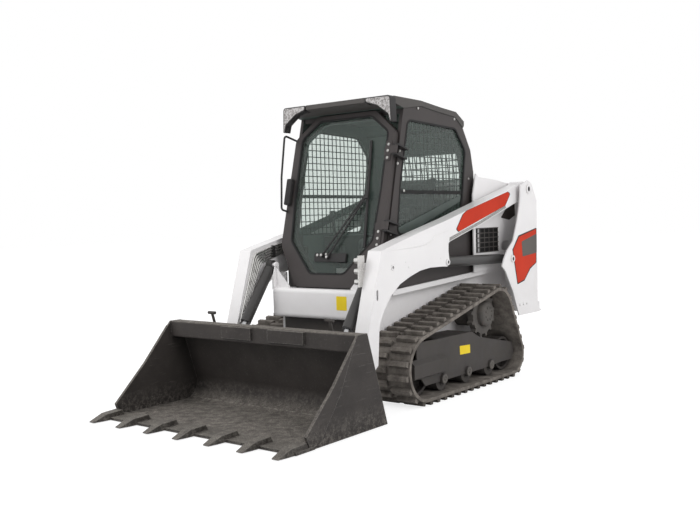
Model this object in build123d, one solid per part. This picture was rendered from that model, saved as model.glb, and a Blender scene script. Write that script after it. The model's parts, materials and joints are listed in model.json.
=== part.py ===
"""Compact track loader: rubber tracks, radius-path lift arms, bucket, glazed cab and engine bay.

Millimetres. X runs to the machine's left, Y to its rear, Z up. The origin lies on the ground under the
middle of the overall length. An outline is a table of (y, z) corners on a side view unless its comment
says otherwise.
"""
from build123d import *
from math import asin, atan2, cos, hypot, pi, radians, sin, tan
import os

os.makedirs("parts", exist_ok=True)

# ---------------------------------------------------------------- driving dimensions
LENGTH_HALF = 1604          # from the middle of the length to the bucket's tooth tips
SEAT_GAP = 0.3              # between curved or sealed faces that only just meet
RUNNING_FIT = 0.05          # radial clearance of every pin in its bore
SIDE_PLAY = 5               # between a moving eye, boss or lug and the cheek beside it

TUB_HALF = 380
TUB_WALL = 10
TUB_BOTTOM = 185
BODY_REAR = 1500            # y of the tub's and the body's rear faces
BODY_HALF = 477             # outer face of the rear body's side plates
LEDGE_HALF = BODY_HALF - 22
BODY_WALL = 10

TRACK_WIDTH = 320
TRACK_INNER = TUB_HALF + 13.5
TRACK_OUTER = TRACK_INNER + TRACK_WIDTH
TRACK_BELT = 22
LUG_HEIGHT = 25
LUG_PITCH = 86
LUG_LENGTH = 40             # along the belt at the lug's root
LUG_WIDTH = 142
LUG_DRAFT = 6               # each flank leans in by this much
WHEELS = (                  # y, z, radius over the lugs
    (-153, 237, 237),       # front idler
    (793, 478, 215),        # drive sprocket
    (1002, 168, 168),       # rear idler
)
ROLLER_YS = (114, 430, 746)
ROLLER_Z = 112

CAB_HALF = BODY_HALF - BODY_WALL - 27
CAB_WALL = 25
DOOR_FOOT = (-267, 822)     # y, z of a point on the door's front plane
DOOR_LEAN = 13.84           # degrees back from upright
DOOR_THICK = 35
DOOR_GAP = 4                # rubber seal space between the door and the cab's front

ARM_INNER = BODY_HALF + 18
ARM_OUTER = ARM_INNER + 100
TOWER_WALL = 10
TOWER_OUTER = ARM_OUTER + 35 + TOWER_WALL
TOWER_REAR = BODY_REAR + 41
LIFT_PIVOT = (1400, 1373)   # y, z: arm to tower
LIFT_ROD_PIN = (287, 876)   # y, z: lift cylinder rod on the arm
LIFT_BASE_PIN = (1129, 855) # y, z: lift cylinder base on the tower
LIFT_X = (ARM_INNER + ARM_OUTER) / 2
BUCKET_PIN = (-656, 232)    # y, z: quick attach on the arm
TILT_BASE_PIN = (-335, 882) # y, z: tilt cylinder base on the arms
TILT_ROD_PIN = (-665, 428)  # y, z: tilt cylinder rod on the quick attach
TILT_X = ARM_INNER - 65

PIVOT_PIN_R = 24
LIFT_PIN_R = 16
TILT_PIN_R = 14
BUCKET_PIN_R = 18

BUCKET_HALF = 782.5
BUCKET_SIDE = 12
BUCKET_SHEET = 8
BUCKET_FLOOR = 4            # underside of the floor above the ground
EDGE_FRONT = -LENGTH_HALF + 114
EDGE_REAR = EDGE_FRONT + 150
DOUBLER = 6                 # wear strip on each side plate
TEETH = 7
TOOTH_HALF = 32


# ---------------------------------------------------------------- small helpers
def profile(points, x0, x1, radius=0):
    """Prism between two x stations from a (y, z) outline; radius is one value or one per corner."""
    rounded = radius if isinstance(radius, (int, float)) else any(radius)
    if rounded:
        line = FilletPolyline(*points, radius=radius, close=True)
    else:
        line = Polyline(*points, close=True)
    return extrude(Plane.YZ.offset(x0) * make_face(line), amount=x1 - x0)


def bar_x(y, z, radius, x0, x1, bore=0):
    """Round bar or ring along X."""
    ring = Circle(radius) - Circle(bore) if bore else Circle(radius)
    return extrude(Plane.YZ.offset(x0) * Pos(y, z) * ring, amount=x1 - x0)


def block(x0, x1, y0, y1, z0, z1):
    return Pos((x0 + x1) / 2, (y0 + y1) / 2, (z0 + z1) / 2) * Box(x1 - x0, y1 - y0, z1 - z0)


def rod(start, end, radius, bore=0):
    """Round bar or tube between two points in space."""
    axis = Vector(*end) - Vector(*start)
    ring = Circle(radius) - Circle(bore) if bore else Circle(radius)
    return extrude(Plane(origin=start, z_dir=axis) * ring, amount=axis.length)


def line_tube(points, radius, bends):
    """Round tube along straight runs joined by arcs."""
    path = FilletPolyline(*points, radius=bends)
    return sweep(Plane(origin=path @ 0, z_dir=path % 0) * Circle(radius), path=path)


def mirrored(shape):
    return mirror(shape, about=Plane.YZ)


def both(shape):
    """A shape on the machine's left and its twin on the right."""
    return [shape, mirrored(shape)]


def save(node, *pieces):
    solids = [solid for piece in pieces for solid in piece.solids()]
    export_step(Compound(solids), f"parts/{node}.step")


def save_pair(node, *pieces):
    """One node for each side; the pieces given are the left ones."""
    save(f"{node}_left", *pieces)
    save(f"{node}_right", *[mirrored(piece) for piece in pieces])


# ---------------------------------------------------------------- tracks
def tangent_stops(circles):
    """For each circle, the start and end angle of the belt's wrap, going round the outside."""
    stops = []
    for i, (y, z, r) in enumerate(circles):
        angles = []
        for a, b in ((circles[i - 1], circles[i]), (circles[i], circles[(i + 1) % len(circles)])):
            dy, dz = b[0] - a[0], b[1] - a[1]
            lean = atan2(dz, dy) + radians(90)
            angles.append(lean + asin((b[2] - a[2]) / hypot(dy, dz)))
        stops.append(angles)
    return stops


def belt_spans(circles):
    """Straight runs and arcs of the loop in order: ("arc", circle, start, sweep) or ("run", a, b)."""
    stops = tangent_stops(circles)
    spans = []
    for i, circle in enumerate(circles):
        start, end = stops[i]
        sweep = (start - end) % (2 * pi)
        spans.append(("arc", circle, start, sweep))
        leaving = on_circle(circle, end)
        following = circles[(i + 1) % len(circles)]
        spans.append(("run", leaving, on_circle(following, stops[(i + 1) % len(circles)][0])))
    return spans


def on_circle(circle, angle):
    y, z, r = circle
    return (y + r * cos(angle), z + r * sin(angle))


def belt_wire(circles):
    lines = []
    for span in belt_spans(circles):
        if span[0] == "arc":
            _, circle, start, sweep = span
            ends = [on_circle(circle, start - sweep * share) for share in (0, 0.5, 1)]
            lines.append(ThreePointArc(*ends))
        else:
            lines.append(Line(span[1], span[2]))
    return Wire([line.edge() for line in lines])


def belt_station(circles, distance):
    """Point on the loop and the outward angle there, at a distance along it."""
    for span in belt_spans(circles):
        if span[0] == "arc":
            _, circle, start, sweep = span
            length = circle[2] * sweep
            if distance <= length:
                angle = start - distance / circle[2]
                return on_circle(circle, angle), angle
        else:
            (y0, z0), (y1, z1) = span[1:]
            length = hypot(y1 - y0, z1 - z0)
            if distance <= length:
                share = distance / length
                return (y0 + (y1 - y0) * share, z0 + (z1 - z0) * share), atan2(z1 - z0, y1 - y0) + pi / 2
        distance -= length
    return belt_station(circles, 0)


def belt_length(circles):
    total = 0
    for span in belt_spans(circles):
        if span[0] == "arc":
            _, circle, _, sweep = span
            total += circle[2] * sweep
        else:
            (y0, z0), (y1, z1) = span[1:]
            total += hypot(y1 - y0, z1 - z0)
    return total


def shrunk(circles, by):
    return [(y, z, r - by) for y, z, r in circles]


def lug(point, angle, x0, x1):
    """One tread block standing on the belt, its flanks drawn in towards the top."""
    root = 4
    half = LUG_LENGTH / 2
    corners = ((-half, -root), (half, -root), (half - LUG_DRAFT, LUG_HEIGHT), (-half + LUG_DRAFT, LUG_HEIGHT))
    along = (sin(angle), -cos(angle))
    out = (cos(angle), sin(angle))
    points = []
    for s, h in corners:
        z = point[1] + s * along[1] + h * out[1]
        points.append((point[0] + s * along[0] + h * out[0], max(0, z)))    # flat on the ground
    return profile(points, x0, x1)


def track():
    belt_outer = shrunk(WHEELS, LUG_HEIGHT)
    belt_inner = shrunk(belt_outer, TRACK_BELT)
    ring = make_face(belt_wire(belt_outer)) - make_face(belt_wire(belt_inner))
    belt = extrude(Plane.YZ.offset(TRACK_INNER) * ring, amount=TRACK_WIDTH)
    length = belt_length(belt_outer)
    count = round(length / LUG_PITCH)
    lugs = []
    margin = 8
    for i in range(count):
        for row, start in enumerate((TRACK_INNER + margin, TRACK_OUTER - margin - LUG_WIDTH)):
            point, angle = belt_station(belt_outer, (i + row / 2) * length / count)
            lugs.append(lug(point, angle, start, start + LUG_WIDTH))
    return belt + lugs


save_pair("track", track())

# track frame: a box beam with an outer and an inner cheek, three rollers under it
TRACK_CENTRE = TRACK_OUTER - TRACK_WIDTH / 2
FRAME_OUTER = TRACK_OUTER - 63.5
FRAME_INNER = TRACK_INNER + 63.5
CHEEK = 10
SPROCKET_Y, SPROCKET_Z, _ = WHEELS[1]
INNER_R = [r - LUG_HEIGHT - TRACK_BELT for _, _, r in WHEELS]
ROLLER_R = ROLLER_Z - LUG_HEIGHT - TRACK_BELT - SEAT_GAP
OUTER_CHEEK = (
    (-252, 171), (-252, 286), (-187, 290), (-187, 396), (94, 390), (493, 388), (615, 332), (980, 264),
    (1073, 245), (1108, 170), (1069, 119), (900, 119), (640, 110), (-94, 110), (-140, 160),
)
BEAM = ((60, 190), (60, 391), (493, 388), (600, 339), (860, 286), (860, 190))
FRAME_MOUNT_YS = (130, 640)
TENSIONER = (-250, 126)     # y of the ends of the track tensioner's housing
TENSIONER_ZS = (165, 176, 262, 286)
TENSIONER_DEPTH = 24


def track_frame():
    outer = profile(OUTER_CHEEK, FRAME_OUTER - CHEEK, FRAME_OUTER)
    inner = profile(OUTER_CHEEK, FRAME_INNER, FRAME_INNER + CHEEK)
    beam = profile(BEAM, FRAME_INNER, FRAME_OUTER)
    mounts = [block(TUB_HALF, FRAME_INNER, y, y + 140, 200, 300) for y in FRAME_MOUNT_YS]
    face = FRAME_OUTER + TENSIONER_DEPTH
    section = [(x, z) for x, z in zip((FRAME_OUTER, face, face, FRAME_OUTER), TENSIONER_ZS)]
    start, end = TENSIONER
    housing = extrude(Plane.XZ.offset(-end) * make_face(Polyline(*section, close=True)), amount=end - start)
    return outer + inner + beam + mounts + housing


def wheel(y, z, radius, width, hub, rim=18):
    """Cast wheel: rim, dished web and a hub that fills the frame from cheek to cheek."""
    half, web = width / 2, 14
    disc = bar_x(y, z, radius, TRACK_CENTRE - half, TRACK_CENTRE + half)
    for x0, x1 in ((TRACK_CENTRE + web, TRACK_CENTRE + half), (TRACK_CENTRE - half, TRACK_CENTRE - web)):
        disc -= bar_x(y, z, radius - rim, x0, x1)
    return disc + bar_x(y, z, hub, FRAME_INNER + CHEEK, FRAME_OUTER - CHEEK)


DRIVE_R = 92
DRIVE_INSET = 28


def sprocket():
    """Toothed drive ring bolted to the domed final drive that stands out of the tub."""
    half, tooth_height, teeth = 22, 22, 13
    tip_r = INNER_R[1] - SEAT_GAP
    root_r = tip_r - tooth_height
    ring = bar_x(SPROCKET_Y, SPROCKET_Z, root_r, TRACK_CENTRE - half, TRACK_CENTRE + half)
    tooth = [(-16, root_r - 6), (16, root_r - 6), (9, tip_r), (-9, tip_r)]
    for i in range(teeth):
        turn = Pos(0, SPROCKET_Y, SPROCKET_Z) * Rot(360 * i / teeth, 0, 0)
        ring += turn * profile(tooth, TRACK_CENTRE - half, TRACK_CENTRE + half)
    drive = bar_x(SPROCKET_Y, SPROCKET_Z, DRIVE_R, TUB_HALF, FRAME_OUTER - DRIVE_INSET)
    dome = fillet(drive.edges().group_by(Axis.X)[-1], DRIVE_R / 3)
    return ring + dome


save_pair("track_frame", track_frame())
save_pair(
    "idlers",
    wheel(*WHEELS[0][:2], INNER_R[0] - SEAT_GAP, 110, 46),
    wheel(*WHEELS[2][:2], INNER_R[2] - SEAT_GAP, 110, 40),
)
save_pair("sprocket", sprocket())
save_pair(
    "rollers",
    *[bar_x(y, ROLLER_Z, ROLLER_R, FRAME_INNER + CHEEK + 3, FRAME_OUTER - CHEEK - 3)
      + bar_x(y, ROLLER_Z, 30, FRAME_INNER + CHEEK, FRAME_OUTER - CHEEK) for y in ROLLER_YS],
    *[bar_x(y, ROLLER_Z + 12, 34, FRAME_OUTER, FRAME_OUTER + 15) for y in ROLLER_YS],
)

# ---------------------------------------------------------------- tub and rear body
LEDGE = ((-150, 706), (BODY_REAR, 788), (BODY_REAR, 800), (-150, 718))
FRONT_Y = -285
TUB_SIDE = (
    (FRONT_Y, 330), (FRONT_Y, 700), *LEDGE[:2], (BODY_REAR, 430), (BODY_REAR - 60, 200),
    (BODY_REAR - 100, TUB_BOTTOM), (-150, TUB_BOTTOM), (-215, 205),
)
LEDGE_LIP = 34
BULKHEAD_Y = 850
DECK_TOP = 820              # top of the seat deck
FOOTWELL = (300, 540)       # y of its rear edge, z of its underside


def main_frame():
    """Welded tub: two side walls, floor, front and rear plates, with the ledges over the tracks."""
    walls = both(profile(TUB_SIDE, TUB_HALF - TUB_WALL, TUB_HALF))
    inside = TUB_HALF - TUB_WALL
    floor_top = TUB_BOTTOM + TUB_WALL
    floor = block(-inside, inside, -150, BODY_REAR - 100, TUB_BOTTOM, floor_top)
    bend, lower, upper = (-150, TUB_BOTTOM), TUB_SIDE[-1], TUB_SIDE[0]
    chin_back = ((-150, floor_top), (lower[0] + 6, lower[1] + 9), (upper[0] + TUB_WALL, upper[1] + 3))
    chin = profile((upper, lower, bend, *chin_back), -inside, inside)
    front = block(-inside, inside, FRONT_Y, FRONT_Y + TUB_WALL, 330, 700)
    well_y, well_z = FOOTWELL
    footwell = block(-inside, inside, FRONT_Y + TUB_WALL, well_y, well_z, well_z + TUB_WALL)
    riser = block(-inside, inside, well_y, well_y + TUB_WALL, well_z, DECK_TOP)
    bulkhead = block(-inside, inside, BULKHEAD_Y, BULKHEAD_Y + TUB_WALL, floor_top, 755)
    ledge = profile(LEDGE, TUB_HALF - TUB_WALL, LEDGE_HALF)
    drop = LEDGE_LIP
    lip_line = [LEDGE[3], LEDGE[2], (LEDGE[2][0], LEDGE[2][1] - drop), (LEDGE[3][0], LEDGE[3][1] - drop)]
    lip = profile(lip_line, LEDGE_HALF - 6, LEDGE_HALF)
    return walls[0] + walls[1] + floor + chin + front + footwell + riser + bulkhead + both(ledge) + both(lip)


def ledge_top(y):
    (y0, z0), (y1, z1) = LEDGE[3], LEDGE[2]
    return z0 + (z1 - z0) * (y - y0) / (y1 - y0)


BODY_SIDE = (
    (850, ledge_top(850)), (850, 1330), (896, 1486), (939, 1462), (1166, 1448), (1405, 1422),
    (BODY_REAR, 1408), (BODY_REAR, ledge_top(BODY_REAR)),
)
BODY_FRONT = 936
GRILLE_OPENING = (880, 1225, 906, 1090)     # y0, y1, z0, z1
PORT = (1268, 1416, 909, 982)               # service port, in the same order


def rear_body():
    """Engine bay sides, bulkhead and the frames that the hood and tailgate close on."""
    inside = BODY_HALF - BODY_WALL
    side = profile(BODY_SIDE, inside, BODY_HALF) - block(inside, BODY_HALF, *GRILLE_OPENING)
    y0, y1, z0, z1 = PORT
    side -= profile(((y0, z0), (y1, z0), (y1, z1), (y0, z1)), inside, BODY_HALF, radius=(z1 - z0) / 2 - 1)
    corners = ((BODY_FRONT, 0), (BODY_REAR, 0), (BODY_REAR, BODY_WALL), (BODY_FRONT, BODY_WALL))
    foot = profile([(y, ledge_top(y) + rise) for y, rise in corners], TUB_HALF - TUB_WALL, inside)
    wall = block(-inside, inside, BODY_FRONT, BODY_FRONT + 10, ledge_top(BODY_FRONT) + 5, 1400)
    return side + mirrored(side) + both(foot) + wall


save("main_frame", main_frame())
save("rear_body", rear_body())
save("engine_block", block(-260, 260, 870, 1330, TUB_BOTTOM + TUB_WALL, 640))

TOWER = (
    (1276, 1398), (1400, 1440), (1460, 1416), (TOWER_REAR, 1286), (TOWER_REAR, 421), (1227, 422),
    (1129, 618), (1017, 774), (972, 806), (1002, 860), (1060, 925), (1150, 989), (1219, 1136), (1272, 1286),
)


def tower():
    """Upright: an outer plate, a rear web to the body side, and the arm and cylinder pins."""
    outer = profile(TOWER, TOWER_OUTER - TOWER_WALL, TOWER_OUTER)
    web = block(BODY_HALF, TOWER_OUTER, BODY_REAR, TOWER_REAR, 421, 1290)
    low = block(TUB_HALF, BODY_HALF, BODY_REAR, TOWER_REAR, 421, 792)
    return outer + web + low


def tower_pins():
    """Fixed pins from the body side to the tower's outer plate, with their caps."""
    pins = []
    for (y, z), r in ((LIFT_PIVOT, PIVOT_PIN_R), (LIFT_BASE_PIN, LIFT_PIN_R)):
        pins.append(bar_x(y, z, r, BODY_HALF, TOWER_OUTER - TOWER_WALL))
        pins.append(bar_x(y, z, r + 10, TOWER_OUTER, TOWER_OUTER + 6))
    return pins


save_pair("tower", tower())
save_pair("tower_pins", *tower_pins())

BUMPER = (                  # y behind the towers, z
    (0, 500), (0, 421), (63, 427), (63, 437), (30, 441), (30, 500),
)
save("rear_bumper", profile([(TOWER_REAR + y, z) for y, z in BUMPER], -TOWER_OUTER, TOWER_OUTER))

TAIL_LAMP = (44, 118, 12)   # width, height, depth
TAIL_LAMP_Z = 1120


def tail_lamp():
    """Lamp on the tower's rear web, its rim rounded."""
    width, height, depth = TAIL_LAMP
    x = (BODY_HALF + TOWER_OUTER - width) / 2 + 12
    body = block(x, x + width, TOWER_REAR, TOWER_REAR + depth, TAIL_LAMP_Z, TAIL_LAMP_Z + height)
    return fillet(body.edges().group_by(Axis.Y)[-1], 4)


save("tail_lamps", *both(tail_lamp()))

# ---------------------------------------------------------------- grilles
def mesh_guard(opening, x0, columns, rows, bar, depth):
    """Mesh guard on a side: upright bars against a second layer of level bars."""
    y0, y1, z0, z1 = opening
    second = x0 + depth + SEAT_GAP
    bars = []
    for i in range(columns + 1):
        y = y0 + (y1 - y0 - bar) * i / columns
        bars.append(block(x0, x0 + depth, y, y + bar, z0, z1))
    for j in range(rows + 1):
        z = z0 + (z1 - z0 - bar) * j / rows
        bars.append(block(second, second + depth, y0, y1, z, z + bar))
    return bars


side_grille = mesh_guard(GRILLE_OPENING, BODY_HALF - 9, columns=5, rows=5, bar=7, depth=4)
save("side_grilles", *[piece for bar in side_grille for piece in both(bar)])

# ---------------------------------------------------------------- cab
LEAN_TAN = tan(radians(DOOR_LEAN))
DOOR_PLANE = Plane(
    origin=(0, *DOOR_FOOT), x_dir=(1, 0, 0), z_dir=(0, -cos(radians(DOOR_LEAN)), sin(radians(DOOR_LEAN)))
)
CAB_FRONT_BACK = (DOOR_THICK + DOOR_GAP) / cos(radians(DOOR_LEAN))


def door_y(z, behind=0):
    """Y of the door's front plane at a height, or of a plane that far behind it along Y."""
    return DOOR_FOOT[0] + LEAN_TAN * (z - DOOR_FOOT[1]) + behind


def on_door(points):
    """(x, z) points of the leaning front, as points of the door plane's own sketch."""
    return [(x, (z - DOOR_FOOT[1]) / cos(radians(DOOR_LEAN))) for x, z in points]


def symmetric(points):
    """Closed outline from its left half, listed from the top middle down to the bottom middle."""
    return [*points, *[(-x, z) for x, z in reversed(points)]]


DOOR_HALF_OUTLINE = (       # x, z
    (CAB_HALF - 190, 1893), (CAB_HALF - 13, 1743), (CAB_HALF - 6, 1009), (CAB_HALF - 163, 753),
    (CAB_HALF - 205, 733),
)
DOOR_RADII = (60, 60, 90, 60, 20)
GLASS_HALF_OUTLINE = (      # x, z
    (CAB_HALF - 220, 1860), (CAB_HALF - 70, 1745), (CAB_HALF - 74, 1345), (CAB_HALF - 92, 1040),
    (CAB_HALF - 295, 822),
)
GLASS_RADII = (70, 60, 300, 80, 60)


def leaning_plate(half_outline, radii, start, thick):
    """Plate on the leaning front: start is its front face's distance behind the door's front plane."""
    line = FilletPolyline(*on_door(symmetric(half_outline)), radius=[*radii, *reversed(radii)], close=True)
    return extrude(DOOR_PLANE.offset(-start) * make_face(line), amount=-thick)


def grown(points, by):
    """Half outline pushed out from the middle by a flat amount."""
    return [(x + by, z + (by if z > 1200 else -by)) for x, z in points]


ROOF_TOP = ((-131, 1964), (238, 1959), (488, 1934), (688, 1919), (812, 1850))
ROOF_EDGE = 36
CAB_REAR = 933
ROOF_SEAT = (               # where the roof lies on the cab's side walls
    (238, 1959 - ROOF_EDGE), (488, 1934 - ROOF_EDGE), (676, 1919 - ROOF_EDGE), (784, 1850 - ROOF_EDGE),
)
CAB_SIDE = (
    (door_y(1000, CAB_FRONT_BACK), 1000), (door_y(1893, CAB_FRONT_BACK), 1893), *ROOF_SEAT, (888, 1656),
    (926, 1497), (CAB_REAR, 1292),
    (CAB_REAR, ledge_top(CAB_REAR)), (-150, ledge_top(-150)), (-150, 930),
)
SIDE_WINDOW = ((82, 1822), (683, 1802), (817, 1653), (762, 1314), (700, 1073), (-70, 1073), (-18, 1421))
SIDE_WINDOW_RADII = (50, 60, 70, 40, 50, 40, 0)
GLASS = 6
REAR_WALL = 20
REAR_FOOT = 772
REAR_OUTER = ((784, 1814), (888, 1656), (926, 1497), (CAB_REAR, 1292), (CAB_REAR, REAR_FOOT))
REAR_INNER = (
    (CAB_REAR - REAR_WALL, REAR_FOOT), (CAB_REAR - REAR_WALL, 1290), (906, 1493), (869, 1648), (768, 1802),
)
REAR_WINDOW = (-330, 330, 1310, 1640)       # x0, x1, z0, z1


def cab_frame():
    """Hollow cab shell: two side walls with windows, leaning front frame, rear wall and toe panels."""
    inside = CAB_HALF - CAB_WALL
    wall = profile(CAB_SIDE, inside, CAB_HALF) - profile(SIDE_WINDOW, inside, CAB_HALF, SIDE_WINDOW_RADII)
    front = leaning_plate(DOOR_HALF_OUTLINE, DOOR_RADII, DOOR_THICK + DOOR_GAP, 25)
    front -= leaning_plate(grown(GLASS_HALF_OUTLINE, -12), GLASS_RADII, DOOR_THICK + DOOR_GAP, 25)
    rear = profile((*REAR_OUTER, *REAR_INNER), -inside, inside)
    x0, x1, z0, z1 = REAR_WINDOW
    rear -= block(x0, x1, 700, 1000, z0, z1)
    sill_half = CAB_HALF - 175
    toe = block(sill_half, inside, -150, -138, ledge_top(-138), 1000)
    sill = block(-sill_half, sill_half, -240, -138, 722, 734)
    taper = (
        (CAB_HALF - 150, 753), (CAB_HALF + 7, 1009), (CAB_HALF - 6, 1009), (CAB_HALF - 163, 753),
        (sill_half, 736), (sill_half, 722), (CAB_HALF - 150, 722),
    )
    cheek = extrude(Plane.XZ.offset(140) * make_face(Polyline(*taper, close=True)), amount=100)
    cheek -= leaning_plate(grown(DOOR_HALF_OUTLINE, 200), DOOR_RADII, -200, 200 + DOOR_THICK + DOOR_GAP)
    header = profile(((42, 1862), (42, 1893), (100, 1902), (100, 1872)), -inside, inside)
    return front + both(wall) + rear + both(toe) + sill + both(cheek) + header


ROOF_OVERHANG = 5
LAMP_YS = (-135, -75)
LAMP = (                    # x past the cab's side, z
    (-187, 1963), (-178, 1931), (-92, 1905), (-4, 1843), (10, 1791), (22, 1796), (16, 1963),
)
LAMP_RADII = (8, 20, 60, 20, 5, 5, 22)
LAMP_RIM = 13
LAMP_POCKET = 14


def lamp_outline(inset=0):
    line = FilletPolyline(*[(CAB_HALF + x, z) for x, z in LAMP], radius=LAMP_RADII, close=True)
    return offset(make_face(line), amount=-inset, kind=Kind.INTERSECTION)


def lamp_solid(y0, y1, inset=0):
    return extrude(Plane.XZ.offset(-y1) * lamp_outline(inset), amount=y1 - y0)


def cab_roof():
    """Roof panel with its visor: a sheet over the cab's sides, notched for the corner lamps."""
    under = (*reversed(ROOF_SEAT), (door_y(1893, CAB_FRONT_BACK), 1893), (0, 1901), (-131, 1934))
    half = CAB_HALF + ROOF_OVERHANG
    front, rear = ROOF_TOP[0][0], ROOF_TOP[-1][0]
    plan = FilletPolyline((-half, front), (half, front), (half, rear), (-half, rear), radius=22, close=True)
    roof = profile((*ROOF_TOP, *under), -half, half) & extrude(make_face(plan), amount=3000)
    x0 = CAB_HALF + LAMP[0][0] - SEAT_GAP
    notch = block(x0, half + 1, front - 1, LAMP_YS[1] + SEAT_GAP, 1700, 2100)
    return roof - both(notch)


def side_glass():
    outline = make_face(FilletPolyline(*SIDE_WINDOW, radius=SIDE_WINDOW_RADII, close=True))
    pane = offset(outline, amount=-SEAT_GAP, kind=Kind.INTERSECTION)
    return extrude(Plane.YZ.offset(CAB_HALF - 14) * pane, amount=GLASS)


def rear_strip(start, thick, z0, z1):
    """(y, z) outline that follows the rear wall between two heights, start behind its inner face."""
    heights = [z0, *[z for _, z in REAR_OUTER if z0 < z < z1], z1]
    inner = [(rear_y(z) - REAR_WALL + start, z) for z in heights]
    return [*inner, *[(y + thick, z) for y, z in reversed(inner)]]


def rear_y(z):
    """Y of the rear wall's outer face at a height."""
    for (ya, za), (yb, zb) in zip(REAR_OUTER, REAR_OUTER[1:]):
        if zb <= z <= za:
            return ya + (yb - ya) * (z - za) / (zb - za)


def rear_glass():
    x0, x1, z0, z1 = REAR_WINDOW
    return profile(rear_strip(0, GLASS, z0 + SEAT_GAP, z1 - SEAT_GAP), x0 + SEAT_GAP, x1 - SEAT_GAP)


SCREEN_PITCH = 47
SCREEN_BAR = 6
SCREEN_DEPTH = 4


def side_screen():
    """Mesh inside the side window, its bars cut to the window's outline."""
    ys, zs = [y for y, _ in SIDE_WINDOW], [z for _, z in SIDE_WINDOW]
    opening = (min(ys), max(ys), min(zs), max(zs))
    counts = [round((high - low) / SCREEN_PITCH) for low, high in (opening[:2], opening[2:])]
    bars = mesh_guard(opening, CAB_HALF - CAB_WALL, *counts, bar=SCREEN_BAR, depth=SCREEN_DEPTH)
    window = profile(SIDE_WINDOW, CAB_HALF - CAB_WALL, CAB_HALF, SIDE_WINDOW_RADII)
    cut = [bar & window for bar in bars]
    return [bar for bar in cut if bar.volume > SCREEN_BAR * SCREEN_DEPTH * 2 * SCREEN_PITCH]


def rear_screen():
    """Mesh behind the rear window: uprights next to the pane, level bars outside them."""
    x0, x1, z0, z1 = REAR_WINDOW
    columns, rows = round((x1 - x0) / SCREEN_PITCH), round((z1 - z0) / SCREEN_PITCH)
    upright = rear_strip(GLASS + 1, SCREEN_DEPTH, z0, z1)
    second = GLASS + 1 + SCREEN_DEPTH + SEAT_GAP
    bars = []
    for i in range(1, columns):
        x = x0 + (x1 - x0) * i / columns
        bars.append(profile(upright, x - SCREEN_BAR / 2, x + SCREEN_BAR / 2))
    for j in range(1, rows):
        z = z0 + (z1 - z0) * j / rows
        level = rear_strip(second, SCREEN_DEPTH, z - SCREEN_BAR / 2, z + SCREEN_BAR / 2)
        bars.append(profile(level, x0, x1))
    return bars


save("cab_frame", cab_frame())
save("cab_roof", cab_roof())
save("cab_glass", *both(side_glass()), rear_glass())
save("window_screens", *[piece for bar in side_screen() for piece in both(bar)], *rear_screen())
save("work_lamps", *both(lamp_solid(*LAMP_YS) - lamp_solid(LAMP_YS[0], LAMP_YS[0] + LAMP_POCKET, LAMP_RIM)))
lens_front = LAMP_YS[0] + LAMP_POCKET - GLASS
save("lamp_lenses", *both(lamp_solid(lens_front, lens_front + GLASS - SEAT_GAP, LAMP_RIM + SEAT_GAP)))

DECK_THICK = 40
SEAT_Z = DECK_TOP + 110
CUSHION_THICK = 110
SEAT_HALF = 230
CONSOLE_TOP = 1060
CONSOLE_X = CAB_HALF - 120  # middle of each console and its stick


def seat_base():
    return block(-170, 170, 330, 760, DECK_TOP, SEAT_Z)


def seat_cushion():
    body = block(-SEAT_HALF, SEAT_HALF, 290, 760, SEAT_Z, SEAT_Z + CUSHION_THICK)
    return fillet(body.edges().filter_by(Axis.Z), 50)


def backrest():
    foot = SEAT_Z + CUSHION_THICK
    return profile(((700, foot), (778, foot), (860, 1480), (800, 1500), (740, 1400)), -210, 210)


def console():
    """Arm rest on its post, with the control stick standing at its front."""
    top = block(CONSOLE_X - 50, CONSOLE_X + 60, 180, 700, CONSOLE_TOP - 60, CONSOLE_TOP)
    post = block(CONSOLE_X - 20, CONSOLE_X + 30, 320, 600, DECK_TOP, CONSOLE_TOP - 60)
    stick = rod((CONSOLE_X, 230, CONSOLE_TOP), (CONSOLE_X, 215, 1200), 12)
    knob = rod((CONSOLE_X, 216, 1190), (CONSOLE_X, 211, 1242), 24)
    return top + post + stick + fillet(knob.edges(), 10)


def seat_deck():
    half = CAB_HALF - 90
    return block(-half, half, FOOTWELL[0] + TUB_WALL, 905, DECK_TOP - DECK_THICK, DECK_TOP)


save("seat", seat_base() + seat_cushion(), backrest())
save("seat_deck", seat_deck())
save("controls", *both(console()))

# ---------------------------------------------------------------- cab door
door_frame = leaning_plate(DOOR_HALF_OUTLINE, DOOR_RADII, 0, DOOR_THICK)
door_frame -= leaning_plate(GLASS_HALF_OUTLINE, GLASS_RADII, 0, DOOR_THICK)
door_pane = leaning_plate(grown(GLASS_HALF_OUTLINE, -SEAT_GAP), GLASS_RADII, 8, GLASS)

HINGE_AXIS = (CAB_HALF + 30, 30)    # x, and distance out of the door's front plane
HINGE_ZS = (1127, 1614)
HINGE_PIN_R = 5
HINGE_KNUCKLE_R = 9
HINGE_LEAF = (52, 6)        # height, thickness
LEAF_BEND = CAB_HALF - 8    # x where the leaf turns out of the door's face
STRAP = 10


def on_plane(x, z, out):
    """Point in space at (x, z) on the leaning front and a distance out of it."""
    (_, v), = on_door([(x, z)])
    return tuple(DOOR_PLANE.from_local_coords(Vector(x, v, out)))


def leaning_block(x0, x1, v0, v1, out0, out1):
    """Block in the door plane's own directions: across, up the door and out of it."""
    face = Pos((x0 + x1) / 2, (v0 + v1) / 2) * Rectangle(x1 - x0, v1 - v0)
    return extrude(DOOR_PLANE.offset(out0) * face, amount=out1 - out0)


def up_door(z):
    return on_door([(0, z)])[0][1]


def hinge_rod(v0, v1, radius):
    x, out = HINGE_AXIS
    ends = [tuple(DOOR_PLANE.from_local_coords(Vector(x, v, out))) for v in (v0, v1)]
    return rod(*ends, radius)


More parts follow.
